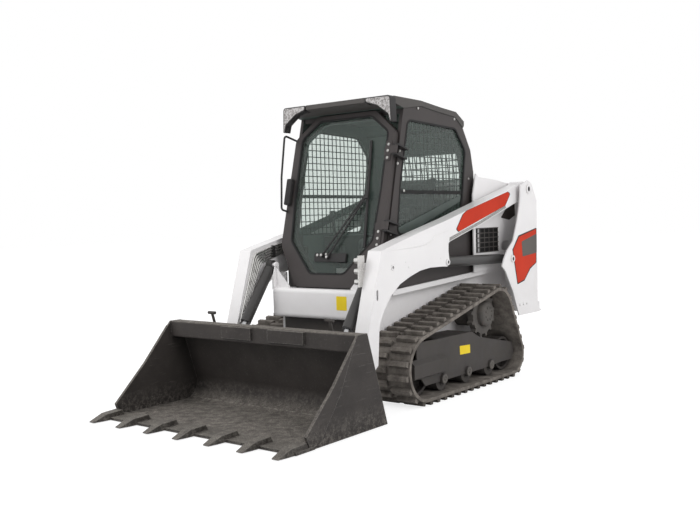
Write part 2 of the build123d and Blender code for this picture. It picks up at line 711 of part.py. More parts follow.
def door_leaf(z):
    """Door half of one hinge: a leaf on the door's face, cranked out to the knuckle beside its edge."""
    height, thick = HINGE_LEAF
    v, half = up_door(z), height / 2
    x, out = HINGE_AXIS
    leaf = leaning_block(CAB_HALF - 80, LEAF_BEND, v - half, v + half, 0, thick)
    leaf += leaning_block(LEAF_BEND - thick, LEAF_BEND, v - half, v + half, 0, out + thick / 2)
    leaf += leaning_block(LEAF_BEND - thick, x, v - half, v + half, out - thick / 2, out + thick / 2)
    knuckle = hinge_rod(v - half, v + half, HINGE_KNUCKLE_R)
    return leaf + knuckle - hinge_rod(v - half - 1, v + half + 1, HINGE_PIN_R + RUNNING_FIT)


def pillar_hinge(z):
    """Cab half of one hinge: the pin between two straps that run back on to the cab's side."""
    v, half = up_door(z), HINGE_LEAF[0] / 2 + 1
    x, out = HINGE_AXIS
    pieces = hinge_rod(v - half - STRAP, v + half + STRAP, HINGE_PIN_R)
    for low in (v - half - STRAP, v + half):
        pieces += leaning_block(CAB_HALF, x + HINGE_KNUCKLE_R, low, low + STRAP, -95, out)
        pieces += hinge_rod(low, low + STRAP, HINGE_KNUCKLE_R)
    return pieces


HANDLE = (                  # z of the door's plane, distance out of it
    (1740, 0), (1740, 126), (1458, 100), (1245, 56), (1245, 0),
)
HANDLE_X = 14 - CAB_HALF
LATCH = (1285, 1465, 34)    # z of its ends, depth


def door_handle():
    """Grab bar down the door's right edge, and the latch housing between its ends."""
    bar = line_tube([on_plane(HANDLE_X, z, out) for z, out in HANDLE], 7, 22)
    z0, z1, depth = LATCH
    housing = leaning_block(HANDLE_X - 12, HANDLE_X + 36, up_door(z0), up_door(z1), 0, depth)
    return bar, fillet(housing.edges(), 8)


save("door_frame", door_frame + [door_leaf(z) for z in HINGE_ZS])
save("door_handle", *door_handle())
save("door_glass", door_pane)
save("door_hinges", *[pillar_hinge(z) for z in HINGE_ZS])

WIPER_PIVOTS = ((-44, 942), (4, 930))     # x, z
WIPER_HEAD = (CAB_HALF - 172, 1343)
BLADE = ((CAB_HALF - 200, 1693), (CAB_HALF - 150, 995))


def bar_on_door(start, end, width, out0, out1):
    """Flat bar between two (x, z) points of the leaning front, lying out0 to out1 in front of it."""
    (xa, va), (xb, vb) = on_door([start, end])
    length = hypot(xb - xa, vb - va)
    turn = Rot(0, 0, atan2(vb - va, xb - xa) * 180 / pi)
    middle = Pos((xa + xb) / 2, (va + vb) / 2) * turn * Rectangle(length, width)
    return extrude(DOOR_PLANE.offset(out0) * middle, amount=out1 - out0)


def wiper():
    """Motor plate on the glass, two parallel arms and the blade on its link."""
    plate = leaning_block(-116, 150, up_door(901), up_door(957), -8, 6)
    head_x, head_z = WIPER_HEAD
    for x, z in WIPER_PIVOTS:
        plate += rod(on_plane(x, z, 0), on_plane(x, z, 26), 14)
        plate += bar_on_door((x, z), (head_x, head_z + (z - WIPER_PIVOTS[0][1])), 10, 10, 18)
    head = leaning_block(head_x - 14, head_x + 14, up_door(head_z - 34), up_door(head_z + 16), 3, 22)
    return plate + head + bar_on_door(*BLADE, 16, -6, 6)


save("wiper", wiper())

# ---------------------------------------------------------------- lift arms
ARM = (
    (1400, 1421), (1202, 1373), (746, 1266), (337, 1166), (-32, 1086), (-258, 1034), (-461, 985), (-608, 513),
    (-692, 240), (-656, 194), (-519, 300), (-500, 509), (-488, 556), (-444, 624), (-368, 708), (-269, 771),
    (-157, 810), (-41, 840), (77, 852), (224, 850), (287, 846), (317, 876), (305, 953), (308, 1000),
    (323, 1012), (463, 1048), (741, 1117), (1040, 1203), (1345, 1287), (1400, 1303),
)
EYE_SLOT = 66
ARM_BOSS = (-347, 878)
LEG_SLOT = (-520, -502, 688, 753)   # y0, y1, z0, z1


def arm():
    """One lift arm: a deep box with a knee and a leg, forked round the lift cylinder's rod eye."""
    body = profile(ARM, ARM_INNER, ARM_OUTER)
    y, z = LIFT_PIVOT
    body += bar_x(y, z, 60, ARM_INNER, ARM_OUTER)
    body += bar_x(y, z, 45, BODY_HALF + SIDE_PLAY, TOWER_OUTER - TOWER_WALL - SIDE_PLAY)
    body -= bar_x(y, z, PIVOT_PIN_R + RUNNING_FIT, 0, 1000)
    y, z = BUCKET_PIN
    body += bar_x(y, z, 38, ARM_INNER, ARM_OUTER)
    body -= bar_x(y, z, BUCKET_PIN_R + RUNNING_FIT, 0, 1000)
    y, z = LIFT_ROD_PIN
    body -= block(LIFT_X - EYE_SLOT / 2, LIFT_X + EYE_SLOT / 2, y - 38, y + 80, z - 80, z + 40)
    body += bar_x(y, z, 20, ARM_OUTER, ARM_OUTER + 6)
    y, z = ARM_BOSS
    body += bar_x(y, z, 19, ARM_OUTER, ARM_OUTER + 5) - bar_x(y, z, 10, ARM_OUTER - 20, ARM_OUTER + 5)
    body -= bar_x(y, z, 10, ARM_OUTER - 20, ARM_OUTER)
    y0, y1, z0, z1 = LEG_SLOT
    slot = ((y0, z0), (y1, z0), (y1, z1), (y0, z1))
    body -= profile(slot, ARM_OUTER - 12, ARM_OUTER, radius=(y1 - y0) / 2 - 1)
    return body


save_pair("arm", arm())

CROSS_HALF = TILT_X - 50
CROSS = ((-376, 535), (-376, 730), (-297, 730), (-297, 535))
TILT_BRACKET_X = (TILT_X - 54, TILT_X - 44)
TILT_BOSS_R = 21
GUSSET_TOE = TILT_X - 170


def crossmember():
    """Formed beam between the arms with the tilt cylinders' brackets standing on its ends."""
    beam = profile(CROSS, -CROSS_HALF, CROSS_HALF, radius=28)
    (y, z), (inner, outer) = TILT_BASE_PIN, TILT_BRACKET_X
    foot, shoulder, reach = CROSS[1][1] - 12, 790, TILT_BOSS_R * 0.8
    plate = (
        (y - 41, foot), (y + 36, foot), (y + 36, shoulder), (y + reach, z - 14), (y - reach, z - 14),
        (y - 41, shoulder),
    )
    bracket = profile(plate, inner, outer) + bar_x(y, z, TILT_BOSS_R, inner, outer)
    slope = ((outer, foot), (GUSSET_TOE, foot), (GUSSET_TOE, foot + 20), (inner, z - 20), (outer, z - 20))
    gusset = extrude(Plane.XZ.offset(-y) * make_face(Polyline(*slope, close=True)), amount=8)
    web = block(inner, ARM_INNER, -250, -232, 750, 828)
    tie = block(inner, outer, CROSS[2][0] - 2, -232, 750, shoulder)
    pin = bar_x(y, z, TILT_PIN_R, outer, ARM_INNER) + bar_x(y, z, TILT_PIN_R, inner - 5, inner)
    return beam + both(bracket + gusset + web + tie + pin)


save("arm_crossmember", crossmember())

TUBE_R = 7
TUBE_PITCH = 17
TUBE_COUNT = 5


def hydraulic_tube(i):
    """Tube i of the bundle on the right arm's inner face: back along the arm, over the knee, down the leg."""
    inset = i * TUBE_PITCH
    x = -ARM_INNER + TUBE_R
    points = [
        (x, 180 - inset, 1100 - inset * 1.02), (x, -252 + inset * 0.2, 1003 - inset * 1.03),
        (x, -432 + inset * 0.75, 955 - inset * 0.85), (x, -590 + inset * 0.6, 511),
    ]
    return line_tube(points, TUBE_R, 40)


save("hydraulic_tubes", *[hydraulic_tube(i) for i in range(TUBE_COUNT)])
COUPLER_FACE = ARM_INNER - 7
coupler_plate = block(COUPLER_FACE, ARM_INNER, -560, -500, 770, 960)
couplers = [rod((COUPLER_FACE, -530, z), (COUPLER_FACE - 36, -543, z), 15) for z in (800, 865, 930)]
save("coupler_block", coupler_plate + couplers)

# ---------------------------------------------------------------- cylinders
def along(start, end, distance):
    length = hypot(end[0] - start[0], end[1] - start[1])
    return tuple(a + (b - a) * distance / length for a, b in zip(start, end))


def cylinder(base, eye, x, barrel_r, bore_r, rod_r, barrel_length, rod_length, base_pin_r, base_eye, rod_eye):
    """Barrel with its base eye, and rod with piston and rod eye; base_eye and rod_eye are (radius, width)."""
    def at(distance):
        return (x, *along(base, eye, distance))
    full = hypot(eye[0] - base[0], eye[1] - base[1])
    gland = 34
    piston = 24
    tube = rod(at(base_eye[0] - 4), at(barrel_length), barrel_r)
    tube += bar_x(*base, base_eye[0], x - base_eye[1] / 2, x + base_eye[1] / 2)
    tube -= bar_x(*base, base_pin_r + RUNNING_FIT, x - 100, x + 100)
    tube -= rod(at(base_eye[0] + 12), at(barrel_length - gland), bore_r)
    tube -= rod(at(barrel_length - gland - 5), at(barrel_length + 5), rod_r + RUNNING_FIT)
    shaft = rod(at(full - rod_length), at(full - rod_eye[0] + 4), rod_r)
    shaft += rod(at(full - rod_length), at(full - rod_length + piston), bore_r - RUNNING_FIT)
    shaft += bar_x(*eye, rod_eye[0], x - rod_eye[1] / 2, x + rod_eye[1] / 2)
    shaft -= bar_x(*eye, rod_eye[0] / 2, x - 100, x + 100)
    return tube, shaft


lift_barrel, lift_rod = cylinder(
    LIFT_BASE_PIN, LIFT_ROD_PIN, LIFT_X, barrel_r=36, bore_r=29, rod_r=19, barrel_length=790, rod_length=780,
    base_pin_r=LIFT_PIN_R, base_eye=(32, 60), rod_eye=(28, EYE_SLOT - 2 * SIDE_PLAY),
)
tilt_barrel, tilt_rod = cylinder(
    TILT_BASE_PIN, TILT_ROD_PIN, TILT_X, barrel_r=36, bore_r=30, rod_r=17, barrel_length=450, rod_length=436,
    base_pin_r=TILT_PIN_R, base_eye=(32, 44), rod_eye=(30, 40),
)
save_pair("lift_barrel", lift_barrel)
save_pair("lift_rod", lift_rod)
save_pair("tilt_barrel", tilt_barrel)
save_pair("tilt_rod", tilt_rod)

# ---------------------------------------------------------------- bucket and quick attach
HEEL = (-690, BUCKET_FLOOR)
BACK_TOP = (-863, 547)
BACK_LENGTH = hypot(BACK_TOP[0] - HEEL[0], BACK_TOP[1] - HEEL[1])
BACK_UP = ((BACK_TOP[0] - HEEL[0]) / BACK_LENGTH, (BACK_TOP[1] - HEEL[1]) / BACK_LENGTH)
BACK_OUT = (BACK_UP[1], -BACK_UP[0])
HEEL_R = 110
EDGE_THICK = 16
LIP_Y = -950                # front face of the boxed top lip
STEPS = (                   # x0, x1, z0, z1 of the raised pads on the lip
    (-282, -31, 466, 540), (108, 391, 466, 540),
)
STEP_DEPTH = 14


def back(s, n):
    """Point s up the bucket's back from the heel and n behind its outer face."""
    return (HEEL[0] + s * BACK_UP[0] + n * BACK_OUT[0], HEEL[1] + s * BACK_UP[1] + n * BACK_OUT[1])


def meet(z, n):
    """Point at height z on the line n behind the bucket's back."""
    s = (z - HEEL[1] - n * BACK_OUT[1]) / BACK_UP[1]
    return back(s, n)


def bucket():
    """Rolled floor and back with a boxed top lip, and two side plates."""
    floor_top = BUCKET_FLOOR + BUCKET_SHEET
    edge_top = BUCKET_FLOOR + EDGE_THICK
    lip_top = BACK_TOP[1]
    section = (
        (EDGE_REAR, BUCKET_FLOOR), HEEL, BACK_TOP, (LIP_Y, lip_top), (LIP_Y, 443), meet(455, -BUCKET_SHEET),
        meet(floor_top, -BUCKET_SHEET), (EDGE_REAR, floor_top),
    )
    side_in = BUCKET_HALF - DOUBLER - BUCKET_SIDE
    shell = profile(section, -side_in, side_in, radius=(0, HEEL_R + BUCKET_SHEET, 12, 12, 10, 0, HEEL_R, 0))
    pads = [block(x0, x1, LIP_Y - STEP_DEPTH, LIP_Y, z0, z1) for x0, x1, z0, z1 in STEPS]
    shoulder = (-1172, 302)
    toe = ((EDGE_FRONT + 84, 80), (EDGE_FRONT + 108, edge_top))
    plate = (
        *toe, (EDGE_REAR, edge_top), (EDGE_REAR, BUCKET_FLOOR), HEEL, back(50, 0), BACK_TOP, (LIP_Y, lip_top),
        shoulder,
    )
    side = profile(plate, side_in, BUCKET_HALF - DOUBLER)
    strip = (
        *toe, (EDGE_FRONT + 190, edge_top), (-1117, 255), (LIP_Y - 50, 480), (LIP_Y - 25, 520), shoulder,
    )
    doubler = profile(strip, BUCKET_HALF - DOUBLER, BUCKET_HALF)
    return shell + pads + both(side) + both(doubler)


save("bucket_shell", bucket())
edge_heights = (BUCKET_FLOOR, BUCKET_FLOOR + EDGE_THICK)
save("cutting_edge", block(-BUCKET_HALF, BUCKET_HALF, EDGE_FRONT, EDGE_REAR, *edge_heights))

TOOTH = (                   # y behind the tip, z
    (0, 6), (0, 11), (94, 44), (204, 50), (219, 20), (114, 20), (114, 4), (64, 4),
)
TOOTH_PITCH = 2 * (BUCKET_HALF - DOUBLER - TOOTH_HALF - 0.5) / (TEETH - 1)


def tooth(x):
    """Cast tooth straddling the edge, wedge-shaped from the side and tapered in plan."""
    wide, narrow = TOOTH_HALF, TOOTH_HALF * 2 / 3
    body = profile([(y - LENGTH_HALF, z) for y, z in TOOTH], x - wide, x + wide)
    plan = ((-narrow, 0), (narrow, 0), (wide, 134), (wide, 224), (-wide, 224), (-wide, 134))
    outline = Polyline(*[(x + across, y - LENGTH_HALF) for across, y in plan], close=True)
    return body & extrude(make_face(outline), amount=60)


save("bucket_teeth", *[tooth((i - (TEETH - 1) / 2) * TOOTH_PITCH) for i in range(TEETH)])

ATTACH_PLATE = 20
EAR = 10
PIN_EAR_X = (               # either side of the arm
    (ARM_INNER - 6 - EAR, ARM_INNER - 6), (ARM_OUTER + 6, ARM_OUTER + 6 + EAR),
)
ROD_LUG_X = ((TILT_X - 35, TILT_X - 25), (TILT_X + 25, TILT_X + 35))
LEVER_X = TILT_X + 60
LEVER_TOP = 615             # up the bucket's back


def quick_attach():
    """Coupler: two face plates joined by a beam, with ears for the arm pins and lugs for the tilt rods."""
    face_in, face_out = TILT_X - 100, ARM_OUTER + 25
    face_line = (back(100, 0), back(500, 0), back(500, ATTACH_PLATE), back(100, ATTACH_PLATE))
    face = profile(face_line, face_in, face_out)
    beam = profile((back(330, 0), back(490, 0), back(490, 60), back(330, 60)), -face_in, face_in)
    parts = beam + both(face)
    ear = (back(120, 20), back(310, 20), back(250, 115), back(170, 115))
    for x0, x1 in PIN_EAR_X:
        parts += both(profile(ear, x0, x1) + bar_x(*BUCKET_PIN, 34, x0, x1))
    pin = bar_x(*BUCKET_PIN, BUCKET_PIN_R, PIN_EAR_X[0][0], PIN_EAR_X[1][1])
    lug_plate = (back(330, 20), back(480, 20), back(425, 160), back(370, 160))
    for x0, x1 in ROD_LUG_X:
        parts += both(profile(lug_plate, x0, x1) + bar_x(*TILT_ROD_PIN, 30, x0, x1))
    return parts + both(pin) + both(latch_lever())


def latch_lever():
    """T-handled lever that locks the bucket, on its foot behind the face plate."""
    foot = profile((back(430, 15), back(495, 15), back(495, 50), back(430, 50)), LEVER_X - 16, LEVER_X + 16)
    stem = rod((LEVER_X, *back(480, 38)), (LEVER_X, *back(LEVER_TOP, 38)), 9)
    return foot + stem + bar_x(*back(LEVER_TOP, 38), 10, LEVER_X - 30, LEVER_X + 30)


save("quick_attach", quick_attach())

# ---------------------------------------------------------------- hood and tailgate
HOOD_HALF = BODY_HALF - BODY_WALL - 6
HOOD_HINGE = (966, 1440)
HOOD_PIN_R = 8
HOOD_TOP = ((966, 1452), (1166, 1434), (1405, 1408), (BODY_REAR - 6, 1398))
HOOD_THICK = 18
LOUVRES = 9
LOUVRE = (150, 1180, 1372)  # half its length across, y of the first and last


def hood():
    """Top cover of the engine bay, hinged along its front edge."""
    ring = bar_x(*HOOD_HINGE, 14, HOOD_HALF - 60, HOOD_HALF)
    bore = bar_x(*HOOD_HINGE, HOOD_PIN_R + RUNNING_FIT, 0, 1000)
    under = [(y, z - HOOD_THICK) for y, z in reversed(HOOD_TOP)]
    panel = profile((*HOOD_TOP, *under), -HOOD_HALF, HOOD_HALF)
    half, first, last = LOUVRE
    for i in range(LOUVRES):
        y = first + (last - first) * i / (LOUVRES - 1)
        for x in (-half - 20, half + 20):
            panel -= block(x - half, x + half, y - 6, y + 6, 1300, 1500)
    return panel + both(ring) - both(bore)


hood_pin = bar_x(*HOOD_HINGE, HOOD_PIN_R, HOOD_HALF - 50, BODY_HALF - BODY_WALL)
save("hood", hood())
save("hood_pins", *both(hood_pin))

GATE_HALF = BODY_HALF - 27
GATE_Y = (TOWER_REAR + 6, TOWER_REAR + 32)
GATE_Z = (508, 1285)
GATE_HINGE = (BODY_HALF - 12, TOWER_REAR + 19)  # x, y
GATE_WINDOW = (-300, 300, 840, 1190)        # x0, x1, z0, z1 of its air inlet
GATE_BARS = (11, 6)         # uprights, level bars
GATE_BAR = 8
GATE_PIN_R = 6
GATE_KNUCKLE_ZS = (640, 1150)
KNUCKLE = 36                # half length


def tailgate():
    """Rear door of the engine bay with its barred air inlet and two hinge knuckles."""
    door = block(-GATE_HALF, GATE_HALF, *GATE_Y, *GATE_Z)
    x0, x1, z0, z1 = GATE_WINDOW
    door -= block(x0, x1, *GATE_Y, z0, z1)
    uprights, levels = GATE_BARS
    inner, outer = GATE_Y[0] + 8, GATE_Y[0] + 8 + GATE_BAR
    for i in range(1, uprights + 1):
        x = x0 + (x1 - x0) * i / (uprights + 1)
        door += block(x - GATE_BAR / 2, x + GATE_BAR / 2, inner, outer, z0, z1)
    for i in range(1, levels + 1):
        z = z0 + (z1 - z0) * i / (levels + 1)
        door += block(x0, x1, inner, outer, z - GATE_BAR / 2, z + GATE_BAR / 2)
    x, y = GATE_HINGE
    for z in GATE_KNUCKLE_ZS:
        door += block(GATE_HALF, x, y - 6, y + 6, z - KNUCKLE, z + KNUCKLE)
        door += rod((x, y, z - KNUCKLE), (x, y, z + KNUCKLE), 11)
        door -= rod((x, y, z - KNUCKLE - 1), (x, y, z + KNUCKLE + 1), GATE_PIN_R + RUNNING_FIT)
    return door


def tailgate_hinges():
    """Pins and their ears on the left tower's rear web."""
    x, y = GATE_HINGE
    gap, ear = 2, 8
    hinges = []
    for z in GATE_KNUCKLE_ZS:
        hinge = rod((x, y, z - KNUCKLE - gap), (x, y, z + KNUCKLE + gap), GATE_PIN_R)
        for low in (z - KNUCKLE - gap - ear, z + KNUCKLE + gap):
            hinge += block(x + 12, x + 40, TOWER_REAR, y + 8, low, low + ear)
            hinge += block(x, x + 12, y - 6, y + 8, low, low + ear)
            hinge += rod((x, y, low), (x, y, low + ear), 11)
        hinges.append(hinge)
    return hinges


save("tailgate", tailgate())
save("tailgate_hinges", *tailgate_hinges())
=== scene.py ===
"""Looks of the compact track loader: finishes for every part, fittings, plates, glass and lamps.

Metres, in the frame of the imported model: +X to the machine's left, +Y to its rear, +Z up.
"""
import bmesh
import bpy
import json
import math
from mathutils import Matrix, Vector


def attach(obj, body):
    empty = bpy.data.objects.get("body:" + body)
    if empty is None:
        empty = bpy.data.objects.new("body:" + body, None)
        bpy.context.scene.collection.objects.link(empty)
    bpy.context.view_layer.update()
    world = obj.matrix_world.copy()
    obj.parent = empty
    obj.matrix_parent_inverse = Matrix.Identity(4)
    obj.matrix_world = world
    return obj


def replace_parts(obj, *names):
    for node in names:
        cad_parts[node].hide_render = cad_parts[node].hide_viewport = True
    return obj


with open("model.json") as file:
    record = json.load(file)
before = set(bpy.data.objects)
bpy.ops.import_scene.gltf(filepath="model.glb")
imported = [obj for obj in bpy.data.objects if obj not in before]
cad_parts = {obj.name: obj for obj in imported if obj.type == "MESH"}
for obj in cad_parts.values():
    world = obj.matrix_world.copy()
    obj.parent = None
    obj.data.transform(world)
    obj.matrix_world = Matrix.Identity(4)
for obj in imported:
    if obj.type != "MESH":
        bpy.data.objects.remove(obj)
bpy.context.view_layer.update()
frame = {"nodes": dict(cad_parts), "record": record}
NODES = frame["nodes"]

EDGE_SOFT = 0.003              # reach of the rounded shading at painted edges
COAT_ROUGHNESS = 0.12
CAB_MIDDLE = (0, 0.40, 1.35)   # faces that look towards this point are the cab's inside
CAB_FRONT_Y = -0.01            # what lies ahead of this isn't the cab's inside


# ---------------------------------------------------------------- node helpers
class Finish:
    """A material whose colour, roughness and bump are worked out from noise in the part's own metres."""

    def __init__(self, name, roughness=0.5, metallic=0.0, coat=0.0, specular=0.5):
        self.material = bpy.data.materials.new(name)
        self.material.use_nodes = True
        self.tree = self.material.node_tree
        self.shader = self.tree.nodes["Principled BSDF"]
        self.shader.inputs["Roughness"].default_value = roughness
        self.shader.inputs["Metallic"].default_value = metallic
        self.shader.inputs["Coat Weight"].default_value = coat
        self.shader.inputs["Coat Roughness"].default_value = COAT_ROUGHNESS
        self.shader.inputs["Specular IOR Level"].default_value = specular
        self.place = self.add("ShaderNodeTexCoord").outputs["Object"]

    def add(self, kind, **settings):
        node = self.tree.nodes.new(kind)
        for key, value in settings.items():
            setattr(node, key, value)
        return node

    def link(self, source, target):
        self.tree.links.new(source, target)

    def noise(self, scale, detail=4.0, stretch=(1, 1, 1), rough=0.55):
        """Fractal noise from 0 to 1; stretch draws it out along the axes given less than 1."""
        mapping = self.add("ShaderNodeMapping")
        mapping.inputs["Scale"].default_value = stretch
        self.link(self.place, mapping.inputs["Vector"])
        texture = self.add("ShaderNodeTexNoise")
        texture.inputs["Scale"].default_value = scale
        texture.inputs["Detail"].default_value = detail
        texture.inputs["Roughness"].default_value = rough
        self.link(mapping.outputs["Vector"], texture.inputs["Vector"])
        return texture.outputs["Fac"]

    def ranged(self, value, low, high, to_low=0.0, to_high=1.0):
        """value brought from low..high to to_low..to_high, and held there."""
        node = self.add("ShaderNodeMapRange")
        for name, number in zip(("From Min", "From Max", "To Min", "To Max"), (low, high, to_low, to_high)):
            node.inputs[name].default_value = number
        self.link(value, node.inputs["Value"])
        return node.outputs["Result"]

    def times(self, a, b, operation="MULTIPLY"):
        """a and b multiplied, or joined by another operation; each is a number or a socket."""
        node = self.add("ShaderNodeMath", operation=operation)
        for socket, value in zip(node.inputs, (a, b)):
            if isinstance(value, (int, float)):
                socket.default_value = value
            else:
                self.link(value, socket)
        return node.outputs["Value"]

    def mixed(self, share, under, over):
        """Colour under where share is 0 and over where it is 1."""
        node = self.add("ShaderNodeMix", data_type="RGBA")
        self.link(share, node.inputs["Factor"])
        for socket, colour in ((node.inputs[6], under), (node.inputs[7], over)):
            if isinstance(colour, tuple):
                socket.default_value = (*colour, 1)
            else:
                self.link(colour, socket)
        return node.outputs[2]

    def height(self):
        """Metres above the ground at rest."""
        split = self.add("ShaderNodeSeparateXYZ")
        self.link(self.place, split.inputs["Vector"])
        return split.outputs["Z"]

    def facing_up(self):
        """1 on level faces that look up, 0 on upright ones."""
        split = self.add("ShaderNodeSeparateXYZ")
        self.link(self.add("ShaderNodeNewGeometry").outputs["Normal"], split.inputs["Vector"])
        return split.outputs["Z"]

    def facing_in(self):
        """1 on faces that look towards the middle of the cab from behind its front, 0 on the others."""
        away = self.add("ShaderNodeVectorMath", operation="SUBTRACT")
        away.inputs[1].default_value = CAB_MIDDLE
        self.link(self.place, away.inputs[0])
        dot = self.add("ShaderNodeVectorMath", operation="DOT_PRODUCT")
        self.link(away.outputs[0], dot.inputs[0])
        self.link(self.add("ShaderNodeNewGeometry").outputs["Normal"], dot.inputs[1])
        split = self.add("ShaderNodeSeparateXYZ")
        self.link(self.place, split.inputs["Vector"])
        behind = self.times(split.outputs["Y"], CAB_FRONT_Y, "GREATER_THAN")
        return self.times(self.times(dot.outputs["Value"], 0.0, "LESS_THAN"), behind)

    def hollow_shade(self, distance):
        """Mask for painted shade: 1 in corners and recesses that lie within distance of other faces, 0 in the
        open.
        """
        node = self.add("ShaderNodeAmbientOcclusion", samples=6)
        node.inputs["Distance"].default_value = distance
        return self.ranged(node.outputs["AO"], 0.35, 0.95, 1.0, 0.0)

    def edges(self, reach):
        """1 along sharp edges, 0 on flat faces more than reach away from one."""
        bevel = self.add("ShaderNodeBevel", samples=4)
        bevel.inputs["Radius"].default_value = reach
        dot = self.add("ShaderNodeVectorMath", operation="DOT_PRODUCT")
        self.link(bevel.outputs["Normal"], dot.inputs[0])
        self.link(self.add("ShaderNodeNewGeometry").outputs["Normal"], dot.inputs[1])
        return self.ranged(dot.outputs["Value"], 0.985, 0.90)

    def colour(self, value):
        if isinstance(value, tuple):
            self.shader.inputs["Base Color"].default_value = (*value, 1)
        else:
            self.link(value, self.shader.inputs["Base Color"])

    def roughness(self, value):
        self.link(value, self.shader.inputs["Roughness"])

    def bump(self, value, depth, soft=0.0):
        """depth is the full height in metres that value stands for; soft rounds off the shading at edges."""
        node = self.add("ShaderNodeBump")
        if soft:
            edge = self.add("ShaderNodeBevel", samples=4)
            edge.inputs["Radius"].default_value = soft
            self.link(edge.outputs["Normal"], node.inputs["Normal"])
        node.inputs["Distance"].default_value = depth
        self.link(value, node.inputs["Height"])
        self.link(node.outputs["Normal"], self.shader.inputs["Normal"])


# ---------------------------------------------------------------- finishes
def scaled(colour, share):
    return tuple(c * share for c in colour)


def painted(name, base, dust, roughness=0.35, coat=0.25, dusty=0.25, mottle=0.05, peel=0.00012, inner=None):
    """Sprayed steel with faint tone changes, orange peel and dust; inner is the tone of the cab's inside, and
    with inner given, painted shade darkens corners and recesses.
    """
    finish = Finish(name, roughness, coat=coat)
    tone = finish.mixed(finish.ranged(finish.noise(3.1), 0.3, 0.7), base, scaled(base, 1 - mottle))
    low = finish.ranged(finish.height(), 0.9, 0.05)
    patch = finish.ranged(finish.noise(9.0, 8.0, rough=0.68), 0.42, 0.72)
    shelf = finish.ranged(finish.facing_up(), 0.75, 1.0, 0.0, 0.5)
    share = finish.times(finish.times(finish.times(low, shelf, "MAXIMUM"), patch), dusty)
    colour = finish.mixed(share, tone, dust)
    if inner:
        # painted shade: corners and recesses darkened towards a dark copy of the base
        colour = finish.mixed(finish.times(finish.hollow_shade(0.09), 0.6), colour, scaled(base, 0.4))
        colour = finish.mixed(finish.facing_in(), colour, inner)
    finish.colour(colour)
    finish.roughness(finish.times(share, roughness, "ADD"))
    finish.bump(finish.noise(420.0, 2.0), peel, EDGE_SOFT)
    return finish.material


def worn_steel(name, base, dust, bare, roughness=0.62, scratch=(6, 0.5, 6)):
    """Working steel: dark paint rubbed thin along edges, long scratches, dry soil on what faces up, and
    painted shade darkening its recesses.
    """
    finish = Finish(name, roughness, specular=0.35)
    cloud = finish.ranged(finish.noise(5.0, 6.0, rough=0.6), 0.35, 0.68)
    tone = finish.mixed(cloud, base, scaled(base, 1.5))
    lines = finish.ranged(finish.noise(14.0, 9.0, stretch=scratch, rough=0.75), 0.58, 0.74)
    grain = finish.ranged(finish.noise(60.0, 6.0, rough=0.7), 0.35, 0.6)
    edges = finish.times(finish.edges(0.007), grain)
    rubbed = finish.mixed(finish.times(finish.times(lines, 0.5), edges, "MAXIMUM"), tone, bare)
    up = finish.ranged(finish.facing_up(), 0.35, 0.98)
    soil = finish.ranged(finish.noise(22.0, 10.0, rough=0.72), 0.30, 0.62)
    low = finish.ranged(finish.height(), 0.16, 0.02, 0.0, 0.45)
    splash = finish.times(low, finish.ranged(finish.noise(38.0, 10.0, rough=0.75), 0.46, 0.60))
    share = finish.times(finish.times(finish.times(up, soil), splash, "MAXIMUM"), 0.9)
    crumbs = finish.ranged(finish.noise(190.0, 4.0, rough=0.6), 0.40, 0.62)
    earth = finish.mixed(crumbs, scaled(dust, 0.45), scaled(dust, 1.25))
    # painted shade: recesses darkened towards a dark copy of the base
    dark = finish.mixed(finish.times(finish.hollow_shade(0.16), 0.6), rubbed, scaled(base, 0.35))
    finish.colour(finish.mixed(share, dark, earth))
    finish.roughness(finish.times(finish.times(share, 0.3), roughness, "ADD"))
    pitting = finish.times(finish.noise(130.0, 8.0, rough=0.75), 0.5)
    finish.bump(finish.times(pitting, finish.times(crumbs, share), "ADD"), 0.0028, EDGE_SOFT)
    return finish.material


def plain_metal(name, base, roughness, streak=(1, 1, 1)):
    """Bare or plated metal with fine drawn streaks and a little grime."""
    finish = Finish(name, roughness, metallic=1.0)
    grime = finish.ranged(finish.noise(30.0, 6.0), 0.55, 0.8, 0.0, 0.5)
    finish.colour(finish.mixed(grime, base, GRIME))
    streaks = finish.noise(60.0, 3.0, stretch=streak)
    finish.roughness(finish.ranged(streaks, 0.2, 0.8, roughness, roughness + 0.15))
    finish.bump(finish.noise(300.0, 2.0, stretch=streak), 0.0001)
    return finish.material


def rubber(name, base, dust):
    """Track rubber: matt, grey with dry soil where it rubs, darkened in the grooves by painted shade."""
    finish = Finish(name, 0.86, specular=0.3)
    cloud = finish.ranged(finish.noise(16.0, 8.0, rough=0.7), 0.34, 0.66)
    tone = finish.mixed(cloud, base, dust)
    # painted shade: grooves darkened towards a dark copy of the base
    finish.colour(finish.mixed(finish.times(finish.hollow_shade(0.05), 0.85), tone, scaled(base, 0.3)))
    finish.bump(finish.noise(210.0, 6.0, rough=0.7), 0.0011)
    return finish.material


def plastic(name, base, roughness=0.55, grain=500.0, depth=0.00018):
    """Moulded plastic with a fine grain and slight fading."""
    finish = Finish(name, roughness, specular=0.4)
    fade = finish.ranged(finish.noise(7.0, 5.0), 0.35, 0.7)
    finish.colour(finish.mixed(fade, base, tuple(c * 1.35 + 0.004 for c in base)))
    finish.bump(finish.noise(grain, 3.0), depth)
    return finish.material


def printed(name, base, shade):
    """Vinyl film: flat colour with slow tone changes and a soft gloss."""
    finish = Finish(name, 0.6, specular=0.25)
    finish.colour(finish.mixed(finish.ranged(finish.noise(4.0, 3.0), 0.3, 0.7), base, shade))
    finish.bump(finish.noise(260.0, 2.0), 0.00008)
    return finish.material


